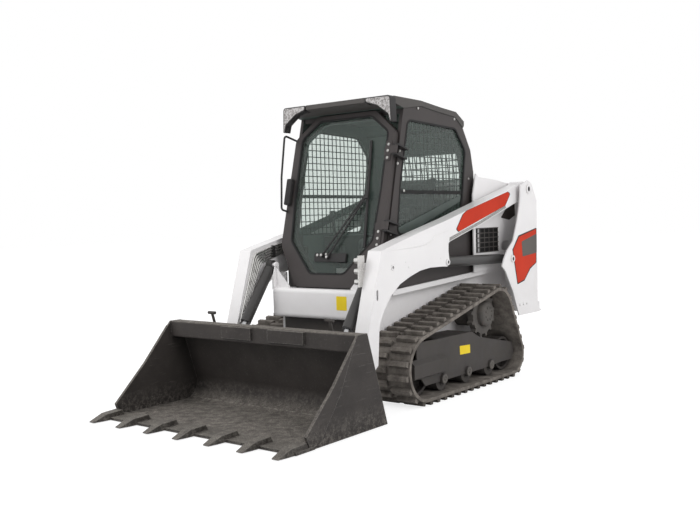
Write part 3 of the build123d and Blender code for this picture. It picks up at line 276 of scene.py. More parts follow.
def tinted_glass(name, tint, haze, cover, shine):
    """Pale green pane: mostly clear, under a thin haze; its mirror grows steeply towards a glancing view."""
    finish = Finish(name, 0.03)
    glossy = finish.add("ShaderNodeBsdfGlossy")
    glossy.inputs["Roughness"].default_value = 0.03
    clear = finish.add("ShaderNodeBsdfTransparent")
    clear.inputs["Color"].default_value = (*tint, 1)
    film = finish.add("ShaderNodeBsdfDiffuse")
    film.inputs["Color"].default_value = (*haze, 1)
    dusty = finish.ranged(finish.noise(6.0, 7.0, rough=0.65), 0.3, 0.75, cover * 0.9, cover * 1.15)
    body = finish.add("ShaderNodeMixShader")
    finish.link(dusty, body.inputs["Fac"])
    finish.link(clear.outputs[0], body.inputs[1])
    finish.link(film.outputs[0], body.inputs[2])
    slant = finish.add("ShaderNodeLayerWeight").outputs["Facing"]
    mirror = finish.times(finish.times(finish.times(slant, 5.0, "POWER"), 0.9), 0.035, "ADD")
    top = finish.add("ShaderNodeMixShader")
    finish.link(finish.times(mirror, shine), top.inputs["Fac"])
    finish.link(body.outputs[0], top.inputs[1])
    finish.link(glossy.outputs[0], top.inputs[2])
    finish.link(top.outputs[0], finish.tree.nodes["Material Output"].inputs["Surface"])
    return finish.material


def moulded_lens(name, light, dark, cell, ridges):
    """Lamp lens: small facets in painted glints and painted shade, bright and dim, behind a smooth coat,
    crossed by fine ridges.
    """
    finish = Finish(name, 0.22, coat=0.6)
    facets = finish.add("ShaderNodeTexVoronoi")
    facets.inputs["Scale"].default_value = cell
    finish.link(finish.place, facets.inputs["Vector"])
    grey = finish.add("ShaderNodeRGBToBW")
    finish.link(facets.outputs["Color"], grey.inputs["Color"])
    # painted glints and shade: each facet given the light or the dark tone at random
    finish.colour(finish.mixed(finish.ranged(grey.outputs["Val"], 0.25, 0.75), dark, light))
    wave = finish.add("ShaderNodeTexWave", bands_direction="X")
    wave.inputs["Scale"].default_value = ridges
    finish.link(finish.place, wave.inputs["Vector"])
    finish.bump(wave.outputs["Fac"], 0.0015)
    return finish.material


def hatched(name, light, dark, pitch, slant):
    """Strip with slanting ticks along Y, worked out from the place on the part."""
    finish = Finish(name, 0.6)
    split = finish.add("ShaderNodeSeparateXYZ")
    finish.link(finish.place, split.inputs["Vector"])
    along = finish.times(split.outputs["Y"], finish.times(split.outputs["Z"], slant), "ADD")
    tick = finish.times(finish.times(along, 1 / pitch), 1.0, "FRACT")
    finish.colour(finish.mixed(finish.ranged(tick, 0.52, 0.60), light, dark))
    finish.bump(tick, 0.0004)
    return finish.material


DUST = (0.33, 0.30, 0.26)
GRIME = (0.12, 0.10, 0.09)
LINING_TONE = (0.066, 0.086, 0.076)
WHITE = painted("white_paint", (0.80, 0.785, 0.785), (0.52, 0.49, 0.45), roughness=0.34, dusty=0.3)
CAB_PAINT = painted("cab_paint", (0.045, 0.038, 0.037), (0.11, 0.10, 0.093), 0.55, coat=0.0, mottle=0.2,
                    inner=LINING_TONE)
ROOF_PAINT = painted("roof_paint", (0.075, 0.069, 0.065), (0.12, 0.115, 0.108), 0.62, coat=0.0, mottle=0.15,
                     inner=LINING_TONE)
BUCKET_STEEL = worn_steel("bucket_steel", (0.029, 0.025, 0.023), (0.315, 0.288, 0.255), (0.20, 0.19, 0.175))
EDGE_STEEL = worn_steel("edge_steel", (0.040, 0.035, 0.031), (0.26, 0.24, 0.212), (0.30, 0.28, 0.26), 0.5,
                        (4, 0.7, 4))
FRAME_STEEL = painted("frame_steel", (0.050, 0.044, 0.041), (0.12, 0.112, 0.10), 0.62, coat=0.0, dusty=0.5,
                      mottle=0.3)
CYLINDER_PAINT = painted("cylinder_paint", (0.034, 0.032, 0.031), (0.14, 0.13, 0.12), 0.42, coat=0.1,
                         dusty=0.2)
TRACK_RUBBER = rubber("track_rubber", (0.090, 0.079, 0.070), (0.235, 0.212, 0.188))
SOIL = worn_steel("dry_soil", (0.16, 0.145, 0.128), (0.42, 0.39, 0.345), (0.40, 0.37, 0.33), 0.9)
CHROME = plain_metal("chrome_rod", (0.50, 0.50, 0.51), 0.14, streak=(1, 8, 8))
BOLT_STEEL = plain_metal("bolt_steel", (0.72, 0.71, 0.69), 0.22)
CAST = painted("cast_iron", (0.10, 0.092, 0.085), DUST, 0.7, coat=0.0, dusty=0.5, mottle=0.3, peel=0.0006)
BLACK_PLASTIC = plastic("black_plastic", (0.018, 0.017, 0.017))
SCREEN = plastic("screen_black", (0.012, 0.012, 0.012), 0.8)
# black rubber for the seals, also used for dark pieces of painted shade in holes, slots and behind grilles
SEAL_AND_SHADE = plastic("seal_and_shade_black", (0.010, 0.010, 0.010), 0.7, 300.0)
VINYL = plastic("seat_vinyl", (0.020, 0.021, 0.022), 0.62, 220.0, 0.0006)
LINING = plastic("cab_lining", (0.045, 0.050, 0.048), 0.8, 150.0, 0.0005)
GUARD = plastic("guard_grey", (0.070, 0.064, 0.060), 0.5)
SASH = plastic("sash_rail", (0.060, 0.075, 0.068), 0.45)
RED_FILM = printed("red_film", (0.56, 0.034, 0.008), (0.47, 0.026, 0.006))
DARK_FILM = printed("dark_film", (0.028, 0.022, 0.020), (0.035, 0.028, 0.025))
GREY_FILM = printed("grey_film", (0.115, 0.105, 0.095), (0.10, 0.092, 0.085))
YELLOW_FILM = printed("yellow_film", (0.84, 0.64, 0.028), (0.78, 0.57, 0.025))
TICKS = hatched("hatched_strip", (0.50, 0.49, 0.47), (0.025, 0.023, 0.022), 0.0125, 1.0)
# The lenses' light and dark tones are painted glints and painted shade of the facets; the red is the tail
# lamps' own colour.
CLEAR_LENS = moulded_lens("clear_lens", (0.50, 0.485, 0.475), (0.20, 0.185, 0.18), 120.0, 40.0)
RED_LENS = moulded_lens("red_lens", (0.62, 0.020, 0.012), (0.30, 0.010, 0.008), 90.0, 60.0)
GLASS = tinted_glass("tinted_glass", (0.955, 0.978, 0.966), (0.16, 0.22, 0.19), 0.07, 0.8)

FINISHES = {
    "white_paint": WHITE, "cab_paint": CAB_PAINT, "bucket_paint": BUCKET_STEEL, "frame_black": FRAME_STEEL,
    "track_rubber": TRACK_RUBBER, "glass": GLASS, "screen_black": SCREEN, "chrome_rod": CHROME,
    "steel": BOLT_STEEL, "seat_vinyl": VINYL, "plastic_black": BLACK_PLASTIC, "cast_iron": CAST,
}
OWN_FINISH = {
    "cab_roof": ROOF_PAINT, "cutting_edge": EDGE_STEEL, "bucket_teeth": EDGE_STEEL, "seat_deck": LINING,
    "hydraulic_tubes": BOLT_STEEL, "coupler_block": BOLT_STEEL, "wiper": BLACK_PLASTIC,
    "track_frame_left": FRAME_STEEL, "track_frame_right": FRAME_STEEL,
    "lift_barrel_left": CYLINDER_PAINT, "lift_barrel_right": CYLINDER_PAINT,
    "tilt_barrel_left": CYLINDER_PAINT, "tilt_barrel_right": CYLINDER_PAINT,
    "quick_attach": FRAME_STEEL, "lamp_lenses": CLEAR_LENS, "tail_lamps": RED_LENS, "side_grilles": GUARD,
    "sprocket_left": CAST, "sprocket_right": CAST,
}


def dress_cad():
    """Every CAD node takes its finish from its slot, or its own from the table above."""
    for row in frame["record"]["subparts"]:
        node = row["node"]
        finish = OWN_FINISH.get(node) or FINISHES[row["material_slot"]]
        slots = NODES[node].data.materials
        if len(slots):
            for i in range(len(slots)):
                slots[i] = finish
        else:
            slots.append(finish)


dress_cad()


# ---------------------------------------------------------------- mesh helpers
def axes(origin, across, up):
    """Local frame of a face: x across it, y up it and z out of it."""
    x, y = Vector(across).normalized(), Vector(up).normalized()
    z = x.cross(y)
    turn = Matrix((x, y, z)).transposed().to_4x4()
    return Matrix.Translation(origin) @ turn


DOOR_LEAN = math.radians(13.84)
DOOR_FOOT = (-0.267, 0.822)
LEFT = axes((0, 0, 0), (0, 1, 0), (0, 0, 1))      # seen from the left: out is +X, across +Y, up +Z
FRONT = axes((0, 0, 0), (1, 0, 0), (0, 0, 1))     # seen from the front: out is -Y, across +X
TOP = axes((0, 0, 0), (1, 0, 0), (0, 1, 0))       # seen from above: out is +Z
REAR = axes((0, 0, 0), (-1, 0, 0), (0, 0, 1))     # seen from behind: out is +Y, across -X
DOOR = axes((0, *DOOR_FOOT), (1, 0, 0), (0, math.sin(DOOR_LEAN), math.cos(DOOR_LEAN)))
MIRROR = Matrix.Diagonal((-1, 1, 1, 1))
SMOOTH_ANGLE = math.radians(35)
BEVEL_ANGLE = math.radians(40)


def up_door(z):
    """Distance up the leaning door of a height above the ground."""
    return (z - DOOR_FOOT[1]) / math.cos(DOOR_LEAN)


def rounded(points, radius, steps=5):
    """Closed outline with every corner turned into an arc; radius is one value or one per corner."""
    count = len(points)
    radii = radius if isinstance(radius, (list, tuple)) else [radius] * count
    line = []
    for i in range(count):
        corner = Vector(points[i])
        back = (Vector(points[i - 1]) - corner)
        ahead = (Vector(points[(i + 1) % count]) - corner)
        half = back.angle(ahead) / 2
        reach = min(radii[i] / math.tan(half), back.length * 0.49, ahead.length * 0.49) if radii[i] else 0
        if reach < 1e-5 or half > math.radians(88):
            line.append(corner)
            continue
        r = reach * math.tan(half)
        start, end = corner + back.normalized() * reach, corner + ahead.normalized() * reach
        centre = corner + (back.normalized() + ahead.normalized()).normalized() * (r / math.sin(half))
        a0 = math.atan2(*(start - centre).yx)
        sweep = (math.atan2(*(end - centre).yx) - a0 + math.pi) % (2 * math.pi) - math.pi
        line += [centre + Vector((math.cos(a0 + sweep * k / steps), math.sin(a0 + sweep * k / steps))) * r
                 for k in range(steps + 1)]
    return line


def circle(x, y, radius, sides=20):
    return [Vector((x + radius * math.cos(a), y + radius * math.sin(a)))
            for a in (2 * math.pi * k / sides for k in range(sides))]


def box_outline(x0, x1, y0, y1):
    return [(x0, y0), (x1, y0), (x1, y1), (x0, y1)]


class Piece:
    """One mesh, gathered from prisms, tubes and bolts, in metres."""

    def __init__(self):
        self.mesh = bmesh.new()

    def prism(self, plane, outline, low, high):
        """Flat outline on a plane, standing from low to high out of it."""
        rings = []
        for level in (low, high):
            rings.append([self.mesh.verts.new(plane @ Vector((p[0], p[1], level))) for p in outline])
        self.mesh.faces.new(rings[0])
        self.mesh.faces.new(rings[1])
        self.wall(*rings)
        return self

    def wall(self, first, second):
        """Faces between two rings of vertices."""
        for i in range(len(first)):
            j = (i + 1) % len(first)
            self.mesh.faces.new((first[i], first[j], second[j], second[i]))

    def frame(self, plane, outer, inner, low, high):
        """Flat ring between two outlines with the same number of points."""
        loops = [[self.mesh.verts.new(plane @ Vector((p[0], p[1], level))) for p in line]
                 for line in (outer, inner) for level in (low, high)]
        for a, b in ((0, 1), (2, 3), (0, 2), (1, 3)):
            self.wall(loops[a], loops[b])
        return self

    def tube(self, points, radii, sides):
        """Round bar along a line of points, with a radius at each."""
        spots = [Vector(p) for p in points]
        last = len(spots) - 1
        heading = [(spots[min(i + 1, last)] - spots[max(i - 1, 0)]).normalized() for i in range(last + 1)]
        side = heading[0].orthogonal().normalized()
        rings = []
        for spot, way, r in zip(spots, heading, radii):
            side = (side - way * side.dot(way)).normalized()
            other = way.cross(side)
            rings.append([self.mesh.verts.new(spot + (side * math.cos(a) + other * math.sin(a)) * r)
                          for a in (2 * math.pi * k / sides for k in range(sides))])
        return self.skin(rings)

    def turned(self, plane, x, y, steps, sides=24):
        """Body of revolution out of a plane at (x, y); steps are (height, radius) pairs from its foot up."""
        rings = [[self.mesh.verts.new(plane @ Vector((*p, height))) for p in circle(x, y, radius, sides)]
                 for height, radius in steps]
        return self.skin(rings)

    def skin(self, rings):
        """Closed surface through a row of rings."""
        for first, second in zip(rings, rings[1:]):
            self.wall(first, second)
        self.mesh.faces.new(rings[0])
        self.mesh.faces.new(rings[-1])
        return self

    def bolt(self, plane, x, y, level, radius=0.008, height=0.006):
        """Washer and domed hexagon head."""
        self.turned(plane, x, y, ((level, radius * 1.45), (level + height * 0.25, radius * 1.4)), 16)
        self.turned(plane, x, y, ((level + height * 0.2, radius), (level + height * 0.8, radius),
                                  (level + height, radius * 0.7)), 6)
        return self

    def join(self, other, matrix=Matrix.Identity(4)):
        """Adds a copy of another piece, moved by matrix."""
        copy = bpy.data.meshes.new("copy")
        other.mesh.to_mesh(copy)
        copy.transform(matrix)
        self.mesh.from_mesh(copy)
        bpy.data.meshes.remove(copy)
        return self

    def both_sides(self):
        """Adds the twin on the other side of the middle plane."""
        twin = Piece()
        twin.join(self, MIRROR)
        return self.join(twin)

    def make(self, name, body, finish, slot=None, bevel=0.0):
        """The finished object, riding on a body."""
        bmesh.ops.recalc_face_normals(self.mesh, faces=self.mesh.faces)
        data = bpy.data.meshes.new(name)
        self.mesh.to_mesh(data)
        self.mesh.free()
        data.materials.append(finish)
        piece = bpy.data.objects.new(name, data)
        bpy.context.scene.collection.objects.link(piece)
        data.shade_smooth()
        data.set_sharp_from_angle(angle=SMOOTH_ANGLE)
        if bevel:
            edge = piece.modifiers.new("edge", "BEVEL")
            edge.width = bevel
            edge.segments = 2
            edge.limit_method = "ANGLE"
            edge.angle_limit = BEVEL_ANGLE
        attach(piece, body)
        return piece


# ---------------------------------------------------------------- camera, light and floor
EYE = (3.672, -4.708, 1.186)
EYE_TURN, EYE_DIP, EYE_ROLL = math.radians(38.0), math.radians(-2.9), math.radians(-1.5)
LENS_MM, SENSOR_MM = 44.91, 36
SURROUND_STRENGTH = 0.70     # what the white surround adds to the light on the machine
FLOOR_GLOW_SHARE, FLOOR_GLOW = 0.5, 1.52   # lifts the lit floor to white for the camera and keeps its shadow
FLOOR_REACH = 40
FLOOR_DROP = 0.0005


def camera():
    """Eye height and angle of a standing person in front of the machine's left corner."""
    turn, dip, roll = EYE_TURN, EYE_DIP, EYE_ROLL
    ahead = Vector((-math.sin(turn) * math.cos(dip), math.cos(turn) * math.cos(dip), math.sin(dip)))
    level = Vector((math.cos(turn), math.sin(turn), 0))
    up = level.cross(ahead)
    right = level * math.cos(roll) + up * math.sin(roll)
    above = -level * math.sin(roll) + up * math.cos(roll)
    data = bpy.data.cameras.new("camera")
    data.sensor_width = SENSOR_MM
    data.lens = LENS_MM
    eye = bpy.data.objects.new("camera", data)
    eye.matrix_world = Matrix.Translation(EYE) @ Matrix((right, above, -ahead)).transposed().to_4x4()
    bpy.context.scene.collection.objects.link(eye)
    bpy.context.scene.camera = eye


def surround(tree, seen, lit, strength):
    """World that shows one colour to the camera, in gloss and through glass, and lights with another."""
    path = tree.nodes.new("ShaderNodeLightPath")
    direct, looked_at = tree.nodes.new("ShaderNodeMath"), tree.nodes.new("ShaderNodeMath")
    direct.operation = looked_at.operation = "MAXIMUM"
    tree.links.new(path.outputs["Is Camera Ray"], direct.inputs[0])
    tree.links.new(path.outputs["Is Glossy Ray"], direct.inputs[1])
    tree.links.new(direct.outputs[0], looked_at.inputs[0])
    tree.links.new(path.outputs["Is Transmission Ray"], looked_at.inputs[1])
    shown, light = tree.nodes.new("ShaderNodeBackground"), tree.nodes.new("ShaderNodeBackground")
    shown.inputs["Color"].default_value = (*seen, 1)
    light.inputs["Color"].default_value = (*lit, 1)
    light.inputs["Strength"].default_value = strength
    mix = tree.nodes.new("ShaderNodeMixShader")
    tree.links.new(looked_at.outputs[0], mix.inputs["Fac"])
    tree.links.new(light.outputs[0], mix.inputs[1])
    tree.links.new(shown.outputs[0], mix.inputs[2])
    tree.links.new(mix.outputs[0], tree.nodes["World Output"].inputs["Surface"])


def lamp(name, place, target, size, power):
    """Square soft light aimed at target, left out of mirror images."""
    data = bpy.data.lights.new(name, "AREA")
    data.shape = "SQUARE"
    data.size = size
    data.energy = power
    light = bpy.data.objects.new(name, data)
    light.location = place
    light.rotation_mode = "QUATERNION"
    light.rotation_quaternion = (Vector(target) - Vector(place)).to_track_quat("-Z", "Y")
    light.visible_glossy = False
    bpy.context.scene.collection.objects.link(light)


def studio():
    """White sweep: a pale floor that keeps the shadow, soft lamps and an even white surround."""
    scene = bpy.context.scene
    scene.view_settings.view_transform = "Standard"
    world = bpy.data.worlds.new("studio")
    scene.world = world
    world.use_nodes = True
    surround(world.node_tree, (1, 1, 1), (0.99, 0.99, 1.0), SURROUND_STRENGTH)
    lamp("key", (-3.2, -6.5, 6.0), (0, 0, 0.8), 4.5, 340)
    lamp("side", (7.0, -1.5, 4.0), (0, 0.2, 0.8), 4.0, 220)
    lamp("back", (-3.0, 6.5, 5.0), (0, 0.5, 0.9), 4.0, 120)
    floor = bpy.data.meshes.new("floor")
    corners = [(x * FLOOR_REACH, y * FLOOR_REACH, 0) for x, y in ((-1, -1), (1, -1), (1, 1), (-1, 1))]
    floor.from_pydata(corners, [], [(0, 1, 2, 3)])
    ground = bpy.data.objects.new("floor", floor)
    ground.location.z = -FLOOR_DROP
    scene.collection.objects.link(ground)
    finish = Finish("studio_floor", 0.9, specular=0.0)
    patches = finish.ranged(finish.noise(0.7), 0.3, 0.7)
    finish.colour(finish.mixed(patches, (0.80, 0.80, 0.80), (0.79, 0.79, 0.79)))
    glow = finish.add("ShaderNodeEmission")
    share = finish.add("ShaderNodeMixShader")
    path = finish.add("ShaderNodeLightPath")
    seen = finish.times(path.outputs["Is Camera Ray"], path.outputs["Is Transmission Ray"], "MAXIMUM")
    finish.link(finish.times(seen, FLOOR_GLOW_SHARE), share.inputs["Fac"])
    finish.link(finish.shader.outputs[0], share.inputs[1])
    finish.link(glow.outputs[0], share.inputs[2])
    glow.inputs["Strength"].default_value = FLOOR_GLOW
    finish.link(share.outputs[0], finish.tree.nodes["Material Output"].inputs["Surface"])
    floor.materials.append(finish.material)


camera()
studio()

# ---------------------------------------------------------------- faces and coloured films
FILM = 0.0008                # thickness of a film
ARM_SIDE = 0.595             # outer faces, as distances from the middle plane
TOWER_SIDE = 0.640
CAB_SIDE = 0.440
BODY_SIDE = 0.477
TRACK_FRAME_SIDE = 0.650
BEAM_FRONT = 0.376           # front faces, as distances ahead of the origin
CHIN_FRONT = 0.285
GATE_BACK = 1.573            # outer face of the tailgate


def film(name, body, finish, plane, outline, level, radius=0.01):
    """Thin sheet stuck on a flat face."""
    Piece().prism(plane, rounded(outline, radius), level, level + FILM).make(name, body, finish)


def both_films(name, body, finish, outline, level, radius=0.01):
    """The same film on the left and the right side."""
    piece = Piece().prism(LEFT, rounded(outline, radius), level, level + FILM)
    piece.both_sides().make(name, body, finish)


ARM_PANEL = ((0.406, 1.091), (0.438, 1.073), (1.119, 1.250), (1.201, 1.339), (1.162, 1.354), (0.550, 1.218),
             (0.495, 1.191))
TOWER_PANEL = ((1.131, 0.923), (1.231, 1.024), (1.535, 1.076), (1.526, 0.805), (1.421, 0.764), (1.318, 0.679),
               (1.202, 0.658))
TOWER_INSERT = ((1.278, 0.977), (1.533, 1.030), (1.529, 0.882), (1.291, 0.863))


def pulled_in(outline, by):
    """The outline shrunk towards its middle by about this much."""
    middle = sum((Vector(p) for p in outline), Vector((0, 0))) / len(outline)
    return [Vector(p) + (middle - Vector(p)).normalized() * by for p in outline]


def films():
    both_films("arm_panel_edge", "arms", DARK_FILM, ARM_PANEL, ARM_SIDE)
    both_films("arm_panel", "arms", RED_FILM, pulled_in(ARM_PANEL, 0.010), ARM_SIDE + FILM)
    both_films("tower_panel_edge", "chassis", DARK_FILM, TOWER_PANEL, TOWER_SIDE)
    both_films("tower_panel", "chassis", RED_FILM, pulled_in(TOWER_PANEL, 0.012), TOWER_SIDE + FILM)
    both_films("tower_insert", "chassis", GREY_FILM, TOWER_INSERT, TOWER_SIDE + 2 * FILM)


films()

# ---------------------------------------------------------------- glazing trim
GLASS_HALF = ((0.220, 1.860), (0.370, 1.745), (0.366, 1.345), (0.348, 1.040), (0.145, 0.822))
GLASS_RADII = (0.070, 0.060, 0.300, 0.080, 0.060)
SIDE_WINDOW = ((0.082, 1.822), (0.683, 1.802), (0.817, 1.653), (0.762, 1.314), (0.700, 1.073),
               (-0.070, 1.073), (-0.018, 1.421))
SIDE_RADII = (0.05, 0.06, 0.07, 0.04, 0.05, 0.04, 0)
WINDOW_RAIL = (-0.040, 0.752, 1.337, 1.362)
SASH_RAIL = ((-0.062, 1.080), (0.080, 1.080), (0.735, 1.284), (0.744, 1.334), (-0.058, 1.113))


def inset(points, by):
    """Outline with every side moved inwards by the same amount."""
    spots = [Vector(p) for p in points]
    count = len(spots)
    turning = sum(spots[i - 1].cross(spots[i]) for i in range(count))
    sign = 1 if turning > 0 else -1
    moved = []
    for i in range(count):
        before = (spots[i] - spots[i - 1]).normalized()
        after = (spots[(i + 1) % count] - spots[i]).normalized()
        n0, n1 = Vector((-before.y, before.x)) * sign, Vector((-after.y, after.x)) * sign
        moved.append(spots[i] + (n0 + n1) * (by / (1 + n0.dot(n1))))
    return moved


def ring(piece, plane, outline, radii, outward, inward, low, high):
    """Flat band that follows an outline, reaching outward and inward from it; a radius of 0 stays sharp."""
    outer = rounded(inset(outline, -outward), [r + outward if r else 0 for r in radii])
    inner = rounded(inset(outline, inward), [max(r - inward, 0.002) if r else 0 for r in radii])
    return piece.frame(plane, outer, inner, low, high)


def glazing():
    """Rubber seals round the panes and the rails of the side windows."""
    half = [(x, up_door(z)) for x, z in GLASS_HALF]
    door_line = half + [(-x, v) for x, v in reversed(half)]
    door_radii = GLASS_RADII + GLASS_RADII[::-1]
    seal = ring(Piece(), DOOR, door_line, door_radii, 0.005, 0.007, -0.0085, 0.003)
    seal.make("door_seal", "cab_door", SEAL_AND_SHADE, bevel=0.0015)
    side = ring(Piece(), LEFT, SIDE_WINDOW, SIDE_RADII, 0.005, 0.009, CAB_SIDE - 0.009, CAB_SIDE + 0.003)
    side.both_sides().make("side_window_seals", "chassis", SEAL_AND_SHADE, bevel=0.0015)
    rails = Piece().prism(LEFT, box_outline(*WINDOW_RAIL), CAB_SIDE - 0.008, CAB_SIDE - 0.001)
    rails.both_sides().make("window_rails", "chassis", SCREEN, bevel=0.0015)
    sash = Piece().prism(LEFT, rounded(SASH_RAIL, 0.006), CAB_SIDE - 0.008, CAB_SIDE - 0.003)
    sash.both_sides().make("sash_rails", "chassis", SASH, bevel=0.002)


glazing()

# ---------------------------------------------------------------- bolts, caps and hinges
# Each hinge plate: its lower and upper height, and the heights of its bolts.
HINGE_PLATES = ((0.990, 1.153, (1.012, 1.053, 1.096)), (1.550, 1.682, (1.570, 1.615, 1.657)))
HINGE_X = (0.366, 0.412)
HINGE_LEAVES = (1.127, 1.614)    # heights of the CAD's hinge leaves, which lie over the plates
LEAF_REACH = 0.026
PLATE_TOP = 0.0045
LEAF_TOP = 0.006
BOLT_X = 0.388
WIPER_BOLTS = ((-0.093, 0.945, 0.006), (-0.044, 0.942, 0.026), (-0.018, 0.950, 0.006), (0.004, 0.930, 0.026))
CAB_BOLTS = ((-0.018, 1.615), (-0.045, 1.532), (-0.140, 1.075), (-0.146, 0.975), (0.020, 1.357),
             (0.852, 1.450))
ROOF_BOLTS = ((0.202, 1.905, CAB_SIDE + 0.005), (0.672, 1.868, CAB_SIDE))
SLOTS, SLOT_FOOT, SLOT_PITCH = 6, 1.290, 0.019


def cab_bolts():
    """Hinge plates and bolts on the door, bolts on the cab's sides, and vent slots there drawn as dark films
    of painted shade.
    """
    plates = Piece()
    bolts = Piece()
    for low, high, places in HINGE_PLATES:
        outline = box_outline(*HINGE_X, up_door(low), up_door(high))
        plates.prism(DOOR, rounded(outline, 0.014), 0, PLATE_TOP)
        for z in places:
            on_leaf = any(abs(up_door(z) - up_door(leaf)) < LEAF_REACH for leaf in HINGE_LEAVES)
            bolts.bolt(DOOR, BOLT_X, up_door(z), LEAF_TOP if on_leaf else PLATE_TOP, 0.0065, 0.007)
    plates.make("hinge_plates", "cab_door", CAB_PAINT, bevel=0.0012)
    for x, z, level in WIPER_BOLTS:
        bolts.bolt(DOOR, x, up_door(z), level, 0.0065, 0.006)
    bolts.make("door_bolts", "cab_door", BOLT_STEEL)
    side = Piece()
    for y, z in CAB_BOLTS:
        side.bolt(LEFT, y, z, CAB_SIDE, 0.0062, 0.006)
    for y, z, level in ROOF_BOLTS:
        side.bolt(LEFT, y, z, level, 0.006, 0.005)
    side.both_sides().make("cab_bolts", "chassis", BOLT_STEEL)
    # painted shade: each vent slot is a dark film on the pillar
    slots = Piece()
    for i in range(SLOTS):
        z = SLOT_FOOT + SLOT_PITCH * i
        slots.prism(LEFT, ((0.872, z), (0.916, z + 0.012), (0.916, z + 0.020), (0.872, z + 0.008)),
                    CAB_SIDE, CAB_SIDE + FILM)
    slots.both_sides().make("pillar_slot_shade", "chassis", SEAL_AND_SHADE)


ARM_PIN = (1.400, 1.373)         # pins as (y, z)
CYLINDER_PIN = (1.129, 0.855)
ARM_EYE = (0.287, 0.876)
ARM_HOLE = (-0.347, 0.878)
ARM_SLOT = (-0.5195, -0.5025, 0.689, 0.752)
ARM_PLUGS = ((-0.205, 0.905), (-0.172, 0.872), (0.205, 0.905))
TOWER_BOLTS = ((1.239, 0.503), (1.295, 0.503), (1.352, 0.503))
PIN_CAP = 0.646


def hole_shade_discs(spots):
    """Flat dark discs of painted shade in the middle of caps and holes; spots are ((y, z), radius, level)."""
    discs = Piece()
    for (y, z), r, level in spots:
        discs.turned(LEFT, y, z, ((level, r), (level + 0.0008, r), (level + 0.0014, r * 0.6)), 24)
    return discs


def pin_caps():
    """Rings and plugs on the pins and holes that show from the sides, with painted shade in their recesses.
    """
    chassis = Piece()
    for (y, z), r in ((ARM_PIN, 0.034), (CYLINDER_PIN, 0.026)):
        chassis.turned(LEFT, y, z, ((PIN_CAP - 0.001, r), (PIN_CAP + 0.003, r), (PIN_CAP + 0.005, r * 0.9),
                                    (PIN_CAP + 0.005, r * 0.62), (PIN_CAP + 0.001, r * 0.55)), 32)
    for y, z in TOWER_BOLTS:
        chassis.bolt(LEFT, y, z, TOWER_SIDE, 0.009, 0.007)
    chassis.both_sides().make("tower_caps", "chassis", WHITE)
    arms = Piece().turned(LEFT, *ARM_EYE, ((0.600, 0.021), (0.605, 0.021), (0.607, 0.018), (0.607, 0.012),
                                           (0.603, 0.011)), 32)
    arms.both_sides().make("arm_caps", "arms", WHITE)
    # painted shade: dark discs in the arm's hole and eye cap, and a dark sheet behind the arm's slot
    hollow_shade = hole_shade_discs(((ARM_HOLE, 0.0098, 0.5755), (ARM_EYE, 0.0105, 0.6030)))
    hollow_shade.prism(LEFT, rounded(box_outline(*ARM_SLOT), 0.008), ARM_SIDE - 0.0118, ARM_SIDE - 0.0108)
    hollow_shade.both_sides().make("arm_hole_shade", "arms", SEAL_AND_SHADE)
    # painted shade: dark discs in the recesses of the tower pins' caps
    hollow_shade = hole_shade_discs(((ARM_PIN, 0.0180, 0.6470), (CYLINDER_PIN, 0.0140, 0.6470)))
    hollow_shade.both_sides().make("tower_hole_shade", "chassis", SEAL_AND_SHADE)
    plugs = Piece()
    for y, z in ARM_PLUGS:
        plugs.turned(LEFT, y, z, ((ARM_SIDE - 0.001, 0.006), (ARM_SIDE + 0.0015, 0.006),
                                  (ARM_SIDE + 0.002, 0.004)), 16)
    plugs.both_sides().make("arm_plugs", "arms", WHITE)


ROLLERS_Y, ROLLER_Z = (0.114, 0.430, 0.746), 0.124
SPROCKET = (0.793, 0.478)
SPROCKET_BOLTS, SPROCKET_BOLT_CIRCLE, SPROCKET_HUB = 8, 0.045, 0.6215


def roller_caps():
    """Caps and bolts on the bottom rollers, and the ring of bolts on each drive sprocket."""
    left = Piece()
    for y in ROLLERS_Y:
        left.turned(LEFT, y, ROLLER_Z, ((0.664, 0.031), (0.667, 0.031), (0.669, 0.027), (0.669, 0.016),
                                        (0.666, 0.014)), 28)
        left.bolt(LEFT, y, ROLLER_Z, 0.665, 0.008, 0.006)
    for k in range(SPROCKET_BOLTS):
        a = 2 * math.pi * (k + 0.5) / SPROCKET_BOLTS
        left.bolt(LEFT, SPROCKET[0] + SPROCKET_BOLT_CIRCLE * math.cos(a),
                  SPROCKET[1] + SPROCKET_BOLT_CIRCLE * math.sin(a), SPROCKET_HUB, 0.007, 0.006)
    right = Piece().join(left, MIRROR)
    left.make("roller_caps_left", "chassis", CAST)
    right.make("roller_caps_right", "chassis", CAST)


cab_bolts()
pin_caps()
roller_caps()

# ---------------------------------------------------------------- strips, plates, lamps, couplers and latches
TICK_STRIP = ((0.318, 1.014), (0.460, 1.052), (0.738, 1.121), (1.125, 1.233), (1.118, 1.254), (0.733, 1.142),
              (0.454, 1.073), (0.322, 1.040))
BODY_DECAL = ((1.262, 1.160), (1.340, 1.222), (1.494, 1.268), (1.494, 1.176), (1.400, 1.142))
FRAME_PLATE = ((0.336, 0.250), (0.470, 0.245), (0.468, 0.302), (0.334, 0.309))
BEAM_PLATE = (0.168, 0.252, 0.600, 0.690)
GUARD_PLATE = (-0.358, 0.358, 0.345, 0.562)
GUARD_FACE = CHIN_FRONT + 0.003
CREASE = ((-0.397, 0.983), (-0.184, 0.989), (0.044, 1.009), (0.173, 1.065), (0.322, 1.087))
CURVE_STEPS = 6


def smooth_line(points):
    """Points along a smooth curve through the ones given."""
    spots = [Vector(p) for p in points]
    ends = [spots[0] * 2 - spots[1], *spots, spots[-1] * 2 - spots[-2]]
    line = []
    for i in range(1, len(ends) - 2):
        p0, p1, p2, p3 = ends[i - 1:i + 3]
        for k in range(CURVE_STEPS):
            t = k / CURVE_STEPS
            line.append(0.5 * ((2 * p1) + (p2 - p0) * t + (2 * p0 - 5 * p1 + 4 * p2 - p3) * t * t
                               + (3 * p1 - p0 - 3 * p2 + p3) * t ** 3))
    return [*line, spots[-1]]


